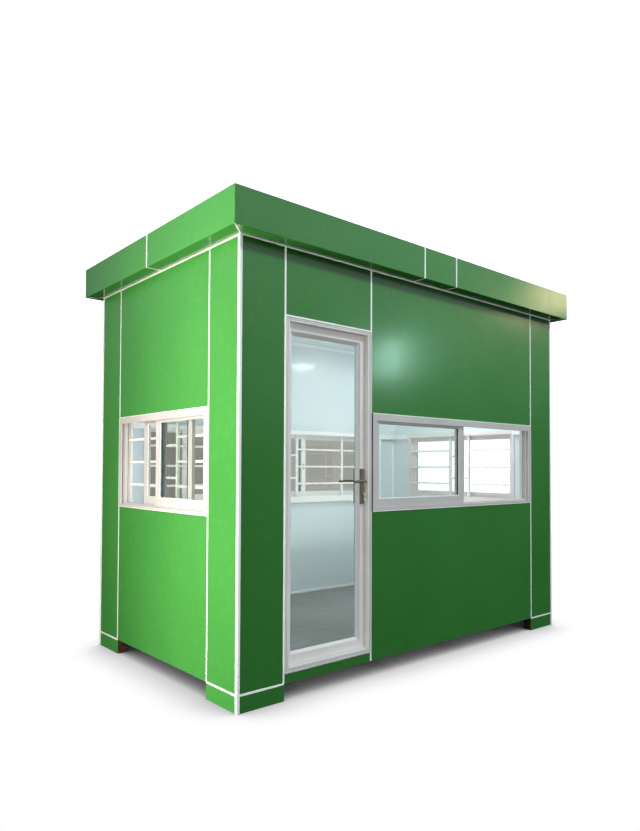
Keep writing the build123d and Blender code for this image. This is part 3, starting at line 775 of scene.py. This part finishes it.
# Grilles: square steel tube welded in one plane, sprayed with white enamel. The welds are ground, so only
# the tube edges are rounded.
def spray_enamel():
    """Sprayed enamel on steel tube: glossy white with a faint sag in patches of 30 mm."""
    material, tree, places = start_finish("white_spray_enamel")
    sag = add(tree, "TexNoise", {"Vector": places, "Scale": 1 / (30 * MM), "Detail": 3.0})
    sags = add(tree, "MapRange", {"Value": sag, "From Min": 0.3, "From Max": 0.7})
    colour = add(tree, "Mix", {"Factor_Float": sags, "A_Color": linear("ECEDEB"),
                               "B_Color": linear("F4F5F3")}, data_type="RGBA")
    sheen = add(tree, "MapRange", {"Value": sags, "To Min": 0.22, "To Max": 0.34})
    shader = add(tree, "BsdfPrincipled", {"Base Color": colour, "Roughness": sheen, "IOR": 1.48})
    add(tree, "OutputMaterial", {"Surface": shader})
    return material


dress([wall + "_grille" for wall in ("left", "right", "back")], spray_enamel(), radius=1.8)


# Door frame and leaf: the same coated aluminium. The frame's face has three ribs drawn with it, and a thin
# grey strip lies in the two grooves between them as painted shade.
DOOR_RIBS = ((3.6, 4.4, 2.6), (13.0, 2.4, 1.2), (22.0, 2.4, 1.2))
DOOR_GROOVE_SHADES = ((7.4, 2.2, 0.3), (15.6, 2.2, 0.3))
dress(["door_frame"], coat, radius=1.0)
dress(["door_leaf_frame"], coat, radius=1.2)


def face_rib(middle, width, height, face=-FRAME_PROUD, out=-1):
    """A rib on a face at a depth, middle millimetres in from the outline's edge. Its top is flat for two
    fifths of the width, and its shoulders stand at three fifths of the height."""
    half = width / 2
    heights = np.array([-0.4, 0.6 * height, height, height, 0.6 * height, -0.4])
    across = middle + np.array([-half, -half, -half * 0.4, half * 0.4, half, half])
    return np.stack([across, face + out * heights], 1) * MM


skin("door_frame_ribs", [hoop("front", door_box, face_rib(*rib)) for rib in DOOR_RIBS], coat,
     loop=True)
skin("door_frame_groove_shades", [hoop("front", door_box, face_rib(*groove_shade)) for groove_shade in DOOR_GROOVE_SHADES],
     grey_crease_shade, loop=True)


# Gap between door and window: a thin mullion stands in it, and a strip fills it from there to just under
# the lips of both frames. Both are black, painted shade for the deep gap.
GAP_CLEARANCE = 0.2
STRIP_PROUD = 3.4
STRIP_DEPTH = 6.2
dress(["door_window_mullion"], black_rubber_and_shade)
gap_right, gap_bottom, gap_top = bays["front"][0], bays["front"][2], bays["front"][3]
gap_middle = (door_high.x + gap_right) / 2
gap_shade_strip = bar((gap_right - door_high.x) / MM - 2 * GAP_CLEARANCE, STRIP_PROUD, sunk=STRIP_DEPTH)
skin("gap_shade_strip", [strip(spot("front", gap_middle, 0, gap_bottom), spot("front", gap_middle, 0, gap_top),
                         wall_out("front"), gap_shade_strip)], black_rubber_and_shade)


# Door seal and glazing: a pale hollow seal stands between the stop and the leaf, and the leaf's rails hold
# the pane with wedges and sloping beads, like the windows' own.
SEAL_PLACE = (27.5, 28.2)
SEAL_RADII = (2.0, 2.2)
angle = np.linspace(0, 2 * math.pi, 10, endpoint=False)
bulb = (np.stack([np.cos(angle), np.sin(angle)], 1) * SEAL_RADII + SEAL_PLACE) * MM
skin("door_seal", [hoop("front", door_box, bulb)], white_gasket, loop=True)
glass_box = wall_box("front", node_points("door_glass"))
wedge_box = (glass_box[0][0], glass_box[0][1], glass_box[2][0], glass_box[2][1])
skin("door_glazing_wedges", [hoop("front", wedge_box, section) for section in
                             wedge_sections(glass_box[1][0] / MM, glass_box[1][1] / MM)],
     white_gasket, body="door_leaf", loop=True)
# The bead snaps into the rails 14 mm out from the glass. A ridge runs along its edge, and a grey line
# beside the ridge is painted shade in the crease where the two meet.
BEAD_DEPTH = 17.0
BEAD_RIDGE = (-11.4, 3.0, 2.0)
BEAD_CREASE_SHADE = (-13.8, 1.6, 0.5)
leaf_box = wall_box("front", node_points("door_leaf_frame"))
leaf_front, leaf_back = leaf_box[1][0] / MM, leaf_box[1][1] / MM
glass_middle = (glass_box[1][0] + glass_box[1][1]) / 2 / MM
ridges, crease_shades = [[hoop("front", wedge_box, face_rib(*rib, glass_middle + out * BEAD_DEPTH, out))
                    for out in (-1, 1)] for rib in (BEAD_RIDGE, BEAD_CREASE_SHADE)]
skin("door_bead_ridges", ridges, coat, body="door_leaf", loop=True)
skin("door_bead_crease_shades", crease_shades, grey_crease_shade, body="door_leaf", loop=True)


# Hinges: three butts on the inner side, pressed from stainless steel and brushed along their length. Each
# plate is held by three turned screws.
def brushed_steel():
    """Brushed stainless steel: hairlines 1.2 mm apart that run up and down, drawn coarse enough to show."""
    material, tree, places = start_finish("brushed_stainless_steel")
    along = add(tree, "Mapping", {"Vector": places, "Scale": (1, 1, 0.03)})
    hair = add(tree, "TexNoise", {"Vector": along, "Scale": 1 / (1.2 * MM), "Detail": 3.0})
    lines = add(tree, "MapRange", {"Value": hair, "From Min": 0.3, "From Max": 0.7})
    colour = add(tree, "Mix", {"Factor_Float": lines, "A_Color": linear("A6A7A8"),
                               "B_Color": linear("C9CACB")}, data_type="RGBA")
    sheen = add(tree, "MapRange", {"Value": lines, "To Min": 0.24, "To Max": 0.40})
    shader = add(tree, "BsdfPrincipled", {"Base Color": colour, "Roughness": sheen, "Metallic": 1.0})
    add(tree, "OutputMaterial", {"Surface": shader})
    return material


steel = brushed_steel()
dress(["hinge_fixed_leaves", "hinge_turning_leaves"], steel, radius=0.5)
HINGE_LENGTH = 96.0
HINGE_PLATE = 3.0
SCREW_INSET = 15.0
SCREW_SPACING = 34.0
SCREW = np.array([[0.05, -0.5], [3.6, -0.5], [3.6, 0.2], [2.6, 1.0], [1.3, 1.4], [1.0, 0.6], [0.05, 0.6]])


def turned(centre, axis, profile, count=16):
    """A turned piece. Each point of the profile is a radius and a height in millimetres; it is carried
    round the axis by the cosine and sine of an angle from 0 to 360 degrees."""
    axis = unit(axis)
    # Any direction will do to start the round from, as long as it isn't the axis.
    side = unit(np.cross(axis, [0.3, 0.2, 0.9]))
    ahead = np.cross(axis, side)
    angle = np.linspace(0, 2 * math.pi, count, endpoint=False)[None, :, None]
    profile = np.asarray(profile, float)[:, None, :] * MM
    radial = np.cos(angle) * side + np.sin(angle) * ahead
    return centre + profile[..., :1] * radial + profile[..., 1:] * axis


for name, body in (("hinge_fixed_leaves", "root"), ("hinge_turning_leaves", "door_leaf")):
    (left, right), (front, back), (bottom, top) = wall_box("front", node_points(name))
    on_frame = body == "root"
    u = left + SCREW_INSET * MM if on_frame else right - SCREW_INSET * MM
    plate_face = (lining_inner if on_frame else leaf_back * MM) + HINGE_PLATE * MM
    end = HINGE_LENGTH / 2 * MM
    heights = [middle + step * SCREW_SPACING * MM
               for middle in (bottom + end, (bottom + top) / 2, top - end) for step in (-1, 0, 1)]
    screws = [turned(spot("front", u, plate_face, z), -wall_out("front"), SCREW) for z in heights]
    skin(name.replace("leaves", "screws"), screws, steel, body=body)


# Lock: a long plate on each face of the stile, cast in zinc and finished as brown bronze, rubbed brighter
# in patches. Two screws hold each, and the cylinder under the lever has a collar and a slot for the key,
# drawn as a black bar that is painted shade for the keyway.
def brown_bronze():
    """Bronze plating over zinc: grey brown with a rubbed sheen in patches 8 mm across."""
    material, tree, places = start_finish("brown_bronze_plating")
    patch = add(tree, "TexNoise", {"Vector": places, "Scale": 1 / (8 * MM), "Detail": 5.0})
    rubbed = add(tree, "MapRange", {"Value": patch, "From Min": 0.3, "From Max": 0.7})
    colour = add(tree, "Mix", {"Factor_Float": rubbed, "A_Color": linear("74695E"),
                               "B_Color": linear("A79A88")}, data_type="RGBA")
    sheen = add(tree, "MapRange", {"Value": rubbed, "To Min": 0.42, "To Max": 0.30})
    shader = add(tree, "BsdfPrincipled", {"Base Color": colour, "Roughness": sheen, "Metallic": 0.62})
    add(tree, "OutputMaterial", {"Surface": shader})
    return material


bronze = brown_bronze()
dress(["lock_plates"], bronze)
PLATE_THICKNESS = 10.0
PLATE_SCREW_INSET = 11.0
PLATE_SCREW = SCREW * [0.9, 0.8]
CYLINDER_DROP = 79.0
CYLINDER_PROUD = 4.0
CYLINDER_COLLAR = [[8.5, -0.4], [11.0, -0.4], [11.0, 0.8], [9.6, 1.8], [8.5, 1.8]]
SLOT_HALF = 4.2
SLOT_SHADE_BAR = bar(1.8, 0.35, ease=0.1)
lever_low, lever_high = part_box("lever_set")
plate_low, plate_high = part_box("lock_plates")
hub_u = (plate_low.x + plate_high.x) / 2
hub_z = (lever_low.z + lever_high.z) / 2
cylinder_z = hub_z - CYLINDER_DROP * MM
faces = ((leaf_front - PLATE_THICKNESS, -1), (leaf_back + PLATE_THICKNESS, 1))
fittings = []
slot_shades = []
for face, out in faces:
    axis = -out * wall_out("front")
    for z in (plate_low.z + PLATE_SCREW_INSET * MM, plate_high.z - PLATE_SCREW_INSET * MM):
        fittings.append(turned(spot("front", hub_u, face * MM, z), axis, PLATE_SCREW))
    fittings.append(turned(spot("front", hub_u, face * MM, cylinder_z), axis, CYLINDER_COLLAR, count=24))
    tip = (face + out * CYLINDER_PROUD) * MM
    slot_shades.append(strip(spot("front", hub_u, tip, cylinder_z - SLOT_HALF * MM),
                       spot("front", hub_u, tip, cylinder_z + SLOT_HALF * MM), axis, SLOT_SHADE_BAR))
skin("lock_plate_screws", fittings, bronze, body="door_leaf")
skin("key_slot_shades", slot_shades, black_rubber_and_shade, body="door_leaf")


# Levers: cast like the plates. A round neck comes out of a rose, bends towards the hinges, and runs on as a
# flattened grip that waves a little and curls back to the door at its tip.
NECK_RADIUS = 7.0
NECK_SUNK = 1.0
BEND_RADIUS = 15.0
GRIP = (5.2, 6.8)
TIP_CURL = 7.0
TIP_START = 0.93
TIP_OPENING = 0.998
WAVE = 2.2
ROSE = [[6.6, 0.3], [12.5, 0.3], [12.5, 2.4], [11.0, 4.2], [8.2, 5.0], [6.6, 5.0]]


def lever(face, out, end_v, tip_u):
    """The path goes straight out, turns a quarter circle, and then runs to the tip, with its points closer
    together there. On that run the height is a wave times the sine of the share gone by, and the depth
    comes back by the share's fourth power. Round each path point runs an oval; its two half widths go from
    the neck's radius to the grip's, and at the tip they shrink by the root of one less the share squared,
    so the end is round."""
    start = np.linspace(face, end_v - out * BEND_RADIUS, 5)[:-1]
    turn = np.linspace(0, math.pi / 2, 9)
    length = (hub_u - tip_u) / MM - BEND_RADIUS
    share = np.linspace(0, 1, 26)[1:]
    share = 1 - (1 - share) ** 1.5
    u = np.concatenate([0 * start, -BEND_RADIUS * (1 - np.cos(turn)), -BEND_RADIUS - length * share])
    v = np.concatenate([start, end_v - out * BEND_RADIUS * (1 - np.sin(turn)),
                        end_v - out * TIP_CURL * share ** 4])
    z = np.concatenate([0 * start, 0 * turn, WAVE * np.sin(2 * math.pi * share) * share])
    path = spot("front", hub_u + u * MM, v * MM, hub_z + z * MM)
    run = np.gradient(path, axis=0)
    run /= np.linalg.norm(run, axis=1)[:, None]
    side = np.cross(run, [0, 0, 1.0])
    side /= np.linalg.norm(side, axis=1)[:, None]
    rise = np.cross(side, run)
    before = len(start) + len(turn)
    blend = np.concatenate([np.zeros(len(start)), np.linspace(0, 1, len(turn)), np.ones(len(share))])
    past = np.clip((share - TIP_START) / (1 - TIP_START), 0, TIP_OPENING)
    end = np.concatenate([np.ones(before), np.sqrt(1 - past ** 2)])
    deep = (NECK_RADIUS + (GRIP[0] - NECK_RADIUS) * blend) * end * MM
    tall = (NECK_RADIUS + (GRIP[1] - NECK_RADIUS) * blend) * end * MM
    ring = np.linspace(0, 2 * math.pi, 18, endpoint=False)[None, :, None]
    oval_side = np.cos(ring) * deep[:, None, None] * side[:, None]
    oval_rise = np.sin(ring) * tall[:, None, None] * rise[:, None]
    return path[:, None] + oval_side + oval_rise


grips = []
for (face, out), end_y in zip(faces, (lever_low.y, lever_high.y)):
    end_v = (end_y + half_depth) / MM - out * GRIP[0]
    grips.append(lever(face - out * NECK_SUNK, out, end_v, lever_low.x))
    grips.append(turned(spot("front", hub_u, face * MM, hub_z), -out * wall_out("front"), ROSE, count=28))
levers = skin("bent_levers", grips, bronze, body="lever", smooth=50)
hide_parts("lever_set")


# Keys: one flat key stands in the outer cylinder, and a split ring through its bow carries a second. All
# are nickel silver, pressed, tumbled until their edges shine, and pale with a little yellow in it.
KEY_BOW = 11.0
BOW_OPENING = 0.34
KEY_THICKNESS = 1.0
KEY_BLADE = 3.6
KEY_REACH = 7.0
KEY_STUB = 8.4
KEY_LENGTH = 24.0
RING_RADIUS = 9.0
RING_WIRE = 0.9
FIRST_HOLE = 2.0
SECOND_HOLE = 4.0
HANG = [0.12, -0.05, -1.0]


def flat_key(centre, toward, across, through, length):
    """The outline is a circle that opens at one side into a blade with three cuts. It is drawn in the plane
    of toward and across, and stands its thickness to each side of that plane."""
    half = KEY_BLADE
    turn = np.linspace(BOW_OPENING, 2 * math.pi - BOW_OPENING, 22)
    bow = np.stack([KEY_BOW * np.cos(turn), KEY_BOW * np.sin(turn)], 1)
    far = KEY_BOW + length
    cuts = np.array([[0, -1], [0, 0.4], [0.12, 1], [0.29, 0.5], [0.42, 1], [0.58, 0.3], [0.7, 1]])
    blade = [far, 0] + cuts * [-length, half]
    outline = np.vstack([bow, blade]) * MM
    flat = centre + outline[:, :1] * np.asarray(toward) + outline[:, 1:] * np.asarray(across)
    lift = KEY_THICKNESS * MM * np.asarray(through)
    return np.stack([flat - lift, flat + lift])


def split_ring(centre, first, second):
    """A torus: the ring's radius plus the wire's radius times a cosine lies in the plane of first and
    second, and the wire's radius times the sine stands across it."""
    around = np.linspace(0, 2 * math.pi, 32, endpoint=False)[:, None, None]
    wire = np.linspace(0, 2 * math.pi, 8, endpoint=False)[None, :, None]
    radial = np.cos(around) * first + np.sin(around) * second
    in_plane = (RING_RADIUS + RING_WIRE * np.cos(wire)) * MM * radial
    return centre + in_plane + RING_WIRE * MM * np.sin(wire) * np.cross(first, second)


inward = -wall_out("front")
along = wall_right("front")
outer_tip = faces[0][0] - CYLINDER_PROUD
key_centre = spot("front", hub_u, (outer_tip - KEY_BOW - KEY_REACH) * MM, cylinder_z)
ring_centre = key_centre + down * (RING_RADIUS + FIRST_HOLE) * MM
second_centre = ring_centre + down * (RING_RADIUS + KEY_BOW - SECOND_HOLE) * MM
keys = [flat_key(key_centre, inward, down, along, KEY_STUB),
        flat_key(second_centre, unit(HANG), along, inward, KEY_LENGTH)]


def nickel_silver():
    """Tumbled nickel silver: pale metal with scuffs 3 mm apart that leave it half bright."""
    material, tree, places = start_finish("nickel_silver")
    scuff = add(tree, "TexNoise", {"Vector": places, "Scale": 1 / (3 * MM), "Detail": 5.0})
    scuffs = add(tree, "MapRange", {"Value": scuff, "From Min": 0.3, "From Max": 0.7})
    colour = add(tree, "Mix", {"Factor_Float": scuffs, "A_Color": linear("E2DFD4"),
                               "B_Color": linear("F0EEE6")}, data_type="RGBA")
    sheen = add(tree, "MapRange", {"Value": scuffs, "To Min": 0.28, "To Max": 0.44})
    shader = add(tree, "BsdfPrincipled", {"Base Color": colour, "Roughness": sheen, "Metallic": 0.45})
    add(tree, "OutputMaterial", {"Surface": shader})
    return material


key_metal = nickel_silver()
skin("keys", keys, key_metal, body="door_leaf", smooth=30)
skin("key_ring", [split_ring(ring_centre, along, down)], key_metal, body="door_leaf",
     loop=True, smooth=60)


# Latch: a spring bolt in the leaf's edge, and the strike plate that takes it on the frame's jamb. Both are
# of the hinges' brushed steel, the bolt milled with eased edges and the plate cut flat.
BOLT = (12.0, 20.0, 5.0)
STRIKE = (22.0, 90.0, 1.0)
JAMB_WIDTH = 16.0
leaf_edge = leaf_box[0][1]
lock_depth = (leaf_front + leaf_back) / 2 * MM
bolt_half = BOLT[1] / 2 * MM
skin("latch_bolt", [strip(spot("front", leaf_edge, lock_depth, hub_z - bolt_half),
                          spot("front", leaf_edge, lock_depth, hub_z + bolt_half), along,
                          bar(BOLT[0], BOLT[2], ease=2.5))], steel, body="door_leaf")
jamb_face = door_high.x - JAMB_WIDTH * MM
strike_half = STRIKE[1] / 2 * MM
skin("strike_plate", [strip(spot("front", jamb_face, lock_depth, hub_z - strike_half),
                            spot("front", jamb_face, lock_depth, hub_z + strike_half), -along,
                            bar(STRIKE[0], STRIKE[2], ease=0.6))], steel)


# Studio: a glowing white floor with the booth's contact shade painted into it, a white surround for the
# eye, and for the booth's own light a dim surround that brightens above the horizon.
FLOOR_RADIUS = 9.0
FLOOR_POINTS = 96
FLOOR_DROP = 0.5
SHADE_REACH = 0.42


def studio_floor():
    """White floor that glows by itself. The booth's contact shade is painted into it: its brightness is the
    share of open sky close by, stretched so that it soon is white.
    """
    material, tree = start_finish("white_studio_floor")[:2]
    open_sky = add(tree, "AmbientOcclusion", {"Distance": SHADE_REACH}, out="AO", samples=12)
    painted_contact_shade = add(tree, "MapRange", {"Value": open_sky, "From Min": 0.1, "From Max": 0.84})
    colour = add(tree, "Mix", {"Factor_Float": painted_contact_shade, "A_Color": linear("1C1C1E"),
                               "B_Color": linear("FFFFFF")}, data_type="RGBA")
    add(tree, "OutputMaterial", {"Surface": add(tree, "Emission", {"Color": colour})})
    return material


rim = np.linspace(0, 2 * math.pi, FLOOR_POINTS, endpoint=False)
circle = np.stack([FLOOR_RADIUS * np.cos(rim), FLOOR_RADIUS * np.sin(rim), 0 * rim], 1)
floor_mesh = bpy.data.meshes.new("studio_floor")
floor_mesh.from_pydata(circle.tolist(), [], [list(range(FLOOR_POINTS))])
floor_mesh.materials.append(studio_floor())
studio = bpy.data.objects.new("studio_floor", floor_mesh)
bpy.context.scene.collection.objects.link(studio)
studio.location.z = -FLOOR_DROP * MM
studio.visible_diffuse = False
studio.visible_glossy = False
studio.visible_shadow = False


def studio_world():
    """For the eye the surround is white, and behind glass towards the back a warm grey that darkens
    straight behind the booth. The booth's own light runs from dim at the ground to a bright sky, by the
    height of the direction, and to the right its gloss sees a brighter sky than its matt side does."""
    world = bpy.data.worlds.new("studio")
    world.use_nodes = True
    tree = world.node_tree
    tree.nodes.clear()
    direction = add(tree, "TexCoord", {}, out="Generated")
    height = add(tree, "SeparateXYZ", {"Vector": direction}, out="Z")
    depth = add(tree, "SeparateXYZ", {"Vector": direction}, out="Y")
    sideways = add(tree, "SeparateXYZ", {"Vector": direction}, out="X")
    camera_ray = add(tree, "LightPath", {}, out="Is Camera Ray")
    glossy_ray = add(tree, "LightPath", {}, out="Is Glossy Ray")
    passed = add(tree, "LightPath", {}, out="Transparent Depth")
    lower = add(tree, "MapRange", {"Value": height, "From Min": -0.15, "From Max": 0.08})
    upper = add(tree, "MapRange", {"Value": height, "From Min": 0.06, "From Max": 0.5})
    low_sky = add(tree, "Mix", {"Factor_Float": lower, "A_Color": linear("20231F"),
                                "B_Color": linear("4A4F4D")}, data_type="RGBA")
    sky = add(tree, "Mix", {"Factor_Float": upper, "A_Color": low_sky, "B_Color": linear("B6C2C8")},
              data_type="RGBA")
    climb = add(tree, "MapRange", {"Value": height, "From Min": 0.02, "From Max": 0.34})
    rightward = add(tree, "MapRange", {"Value": sideways, "From Min": -0.05, "From Max": 0.15})
    mirrored = add(tree, "Math", {"Value": glossy_ray, "Value_001": rightward}, operation="MULTIPLY")
    shine = add(tree, "Mix", {"Factor_Float": climb, "A_Color": low_sky, "B_Color": linear("DCE6EA")},
                data_type="RGBA")
    felt_sky = add(tree, "Mix", {"Factor_Float": mirrored, "A_Color": sky, "B_Color": shine},
                   data_type="RGBA")
    back = add(tree, "MapRange", {"Value": depth, "From Min": 0.66, "From Max": 0.71})
    straight = add(tree, "MapRange", {"Value": depth, "From Min": 0.80, "From Max": 0.89})
    beyond = add(tree, "Mix", {"Factor_Float": back, "A_Color": linear("FFFFFF"),
                               "B_Color": linear("8D8984")}, data_type="RGBA")
    behind = add(tree, "Mix", {"Factor_Float": straight, "A_Color": beyond, "B_Color": linear("746F6A")},
                 data_type="RGBA")
    behind_glass = add(tree, "Math", {"Value": passed, "Value_001": 0.5}, operation="GREATER_THAN")
    view = add(tree, "Mix", {"Factor_Float": behind_glass, "A_Color": linear("FFFFFF"), "B_Color": behind},
               data_type="RGBA")
    felt = add(tree, "Background", {"Color": felt_sky, "Strength": 1.0})
    seen = add(tree, "Background", {"Color": view, "Strength": 1.7})
    both = add(tree, "MixShader", {"Fac": camera_ray, "Shader": felt, "Shader_001": seen})
    add(tree, "OutputWorld", {"Surface": both})
    return world


bpy.context.scene.world = studio_world()
bpy.context.scene.view_settings.view_transform = "Standard"


def lamp(name, place, aim, size, watts, colour="FFFFFF", mirrored=True):
    """A soft rectangular lamp that shines from place towards aim and isn't seen itself. Where it isn't
    mirrored, it gives light but no highlight."""
    light = bpy.data.lights.new(name, "AREA")
    light.shape = "RECTANGLE"
    light.size, light.size_y = size
    light.energy = watts
    light.color = linear(colour)[:3]
    holder = bpy.data.objects.new(name, light)
    bpy.context.scene.collection.objects.link(holder)
    holder.location = place
    toward = Vector(aim) - Vector(place)
    holder.rotation_euler = toward.to_track_quat("-Z", "Y").to_euler()
    holder.visible_camera = False
    holder.visible_glossy = mirrored
    return holder


# The key light comes from the left and the fill from above the front. Two small lamps show as gleams in the
# front's green panels and fascia, soft ones light the room, and the last keeps the back from going dark.
lamp("key_left", (-3.0, -0.70, 1.35), (-1.5, -0.70, 1.35), (0.6, 3.2), 92, "FFF7EA", mirrored=False)
lamp("fill_front", (0.4, -4.6, 5.6), (0.0, -0.9, 1.2), (0.8, 0.8), 135, "EAF6FF", mirrored=False)
lamp("gleam_front", (3.17, -4.22, 2.74), (0.2, -0.9, 1.9), (0.34, 0.5), 9.5, "CCFFF4")
lamp("gleam_end", (5.45, -3.14, 3.75), (1.5, -0.96, 2.5), (0.9, 0.5), 9.5, "FFE9B8")
lamp("room_lamp", (1.04, -0.17, 2.32), (1.04, -0.17, 0.0), (0.22, 0.22), 7)
lamp("room_fill", (0.1, -0.02, 2.31), (0.1, -0.02, 0.0), (2.2, 0.9), 7.6, mirrored=False)
lamp("room_bounce", (0.1, 0.0, 0.5), (0.1, 0.0, 2.3), (2.2, 0.9), 8.5, mirrored=False)
lamp("room_end", (-0.3, -0.45, 1.5), (1.5, 0.5, 1.45), (0.5, 0.9), 4, mirrored=False)
lamp("room_left", (-1.2, 0.25, 1.25), (-1.3, 0.88, 1.25), (0.3, 0.6), 1.3, mirrored=False)
lamp("back_fill", (3.6, 3.4, 2.6), (0.5, 0.3, 1.2), (2.0, 2.0), 175, mirrored=False)

# The front's white lines, its joinery, and the lock with its levers and keys have a lamp of their own, near
# the eye, so they stand out crisply.
white_front = bpy.data.collections.new("white_front_pieces")
for name in ("front_panel_joints", "corner_beads", "fascia_joints", "front_frame_sealant", "door_frame",
             "door_frame_ribs", "door_frame_groove_shades", "door_seal", "door_leaf_frame", "door_bead_ridges",
             "door_bead_crease_shades", "door_glazing_wedges", "front_window_frame", "front_window_sashes",
             "front_window_tracks", "glazing_wedges", "lock_plates", "bent_levers", "keys", "key_ring"):
    white_front.objects.link(bpy.data.objects[name])
line_light = lamp("line_light", (-3.2, -7.0, 1.5), (0.0, -0.9, 1.2), (1.6, 1.6), 155, mirrored=False)
line_light.light_linking.receiver_collection = white_front

# Camera: at the photograph's standpoint, 1.25 m above the ground and aimed nearly level, with its middle
# shifted a little as the picture was cropped.
EYE = (-3.369, -3.671, 1.246)
YAW = -40.73
PITCH = 1.41
ROLL = 0.22
FOCAL_PIXELS = 658.2
PICTURE_HEIGHT = 831
CENTRE_DROP = 36.1
camera = bpy.data.cameras.new("camera")
camera.sensor_fit = "VERTICAL"
camera.sensor_height = 24.0
camera.lens = FOCAL_PIXELS / PICTURE_HEIGHT * camera.sensor_height
camera.shift_y = CENTRE_DROP / PICTURE_HEIGHT
camera.clip_end = 200.0
viewer = bpy.data.objects.new("camera", camera)
bpy.context.scene.collection.objects.link(viewer)
viewer.location = EYE
aim = Matrix.Rotation(math.radians(YAW), 3, "Z") @ Matrix.Rotation(math.radians(90 + PITCH), 3, "X")
viewer.rotation_euler = (aim @ Matrix.Rotation(math.radians(ROLL), 3, "Z")).to_euler()
bpy.context.scene.camera = viewer
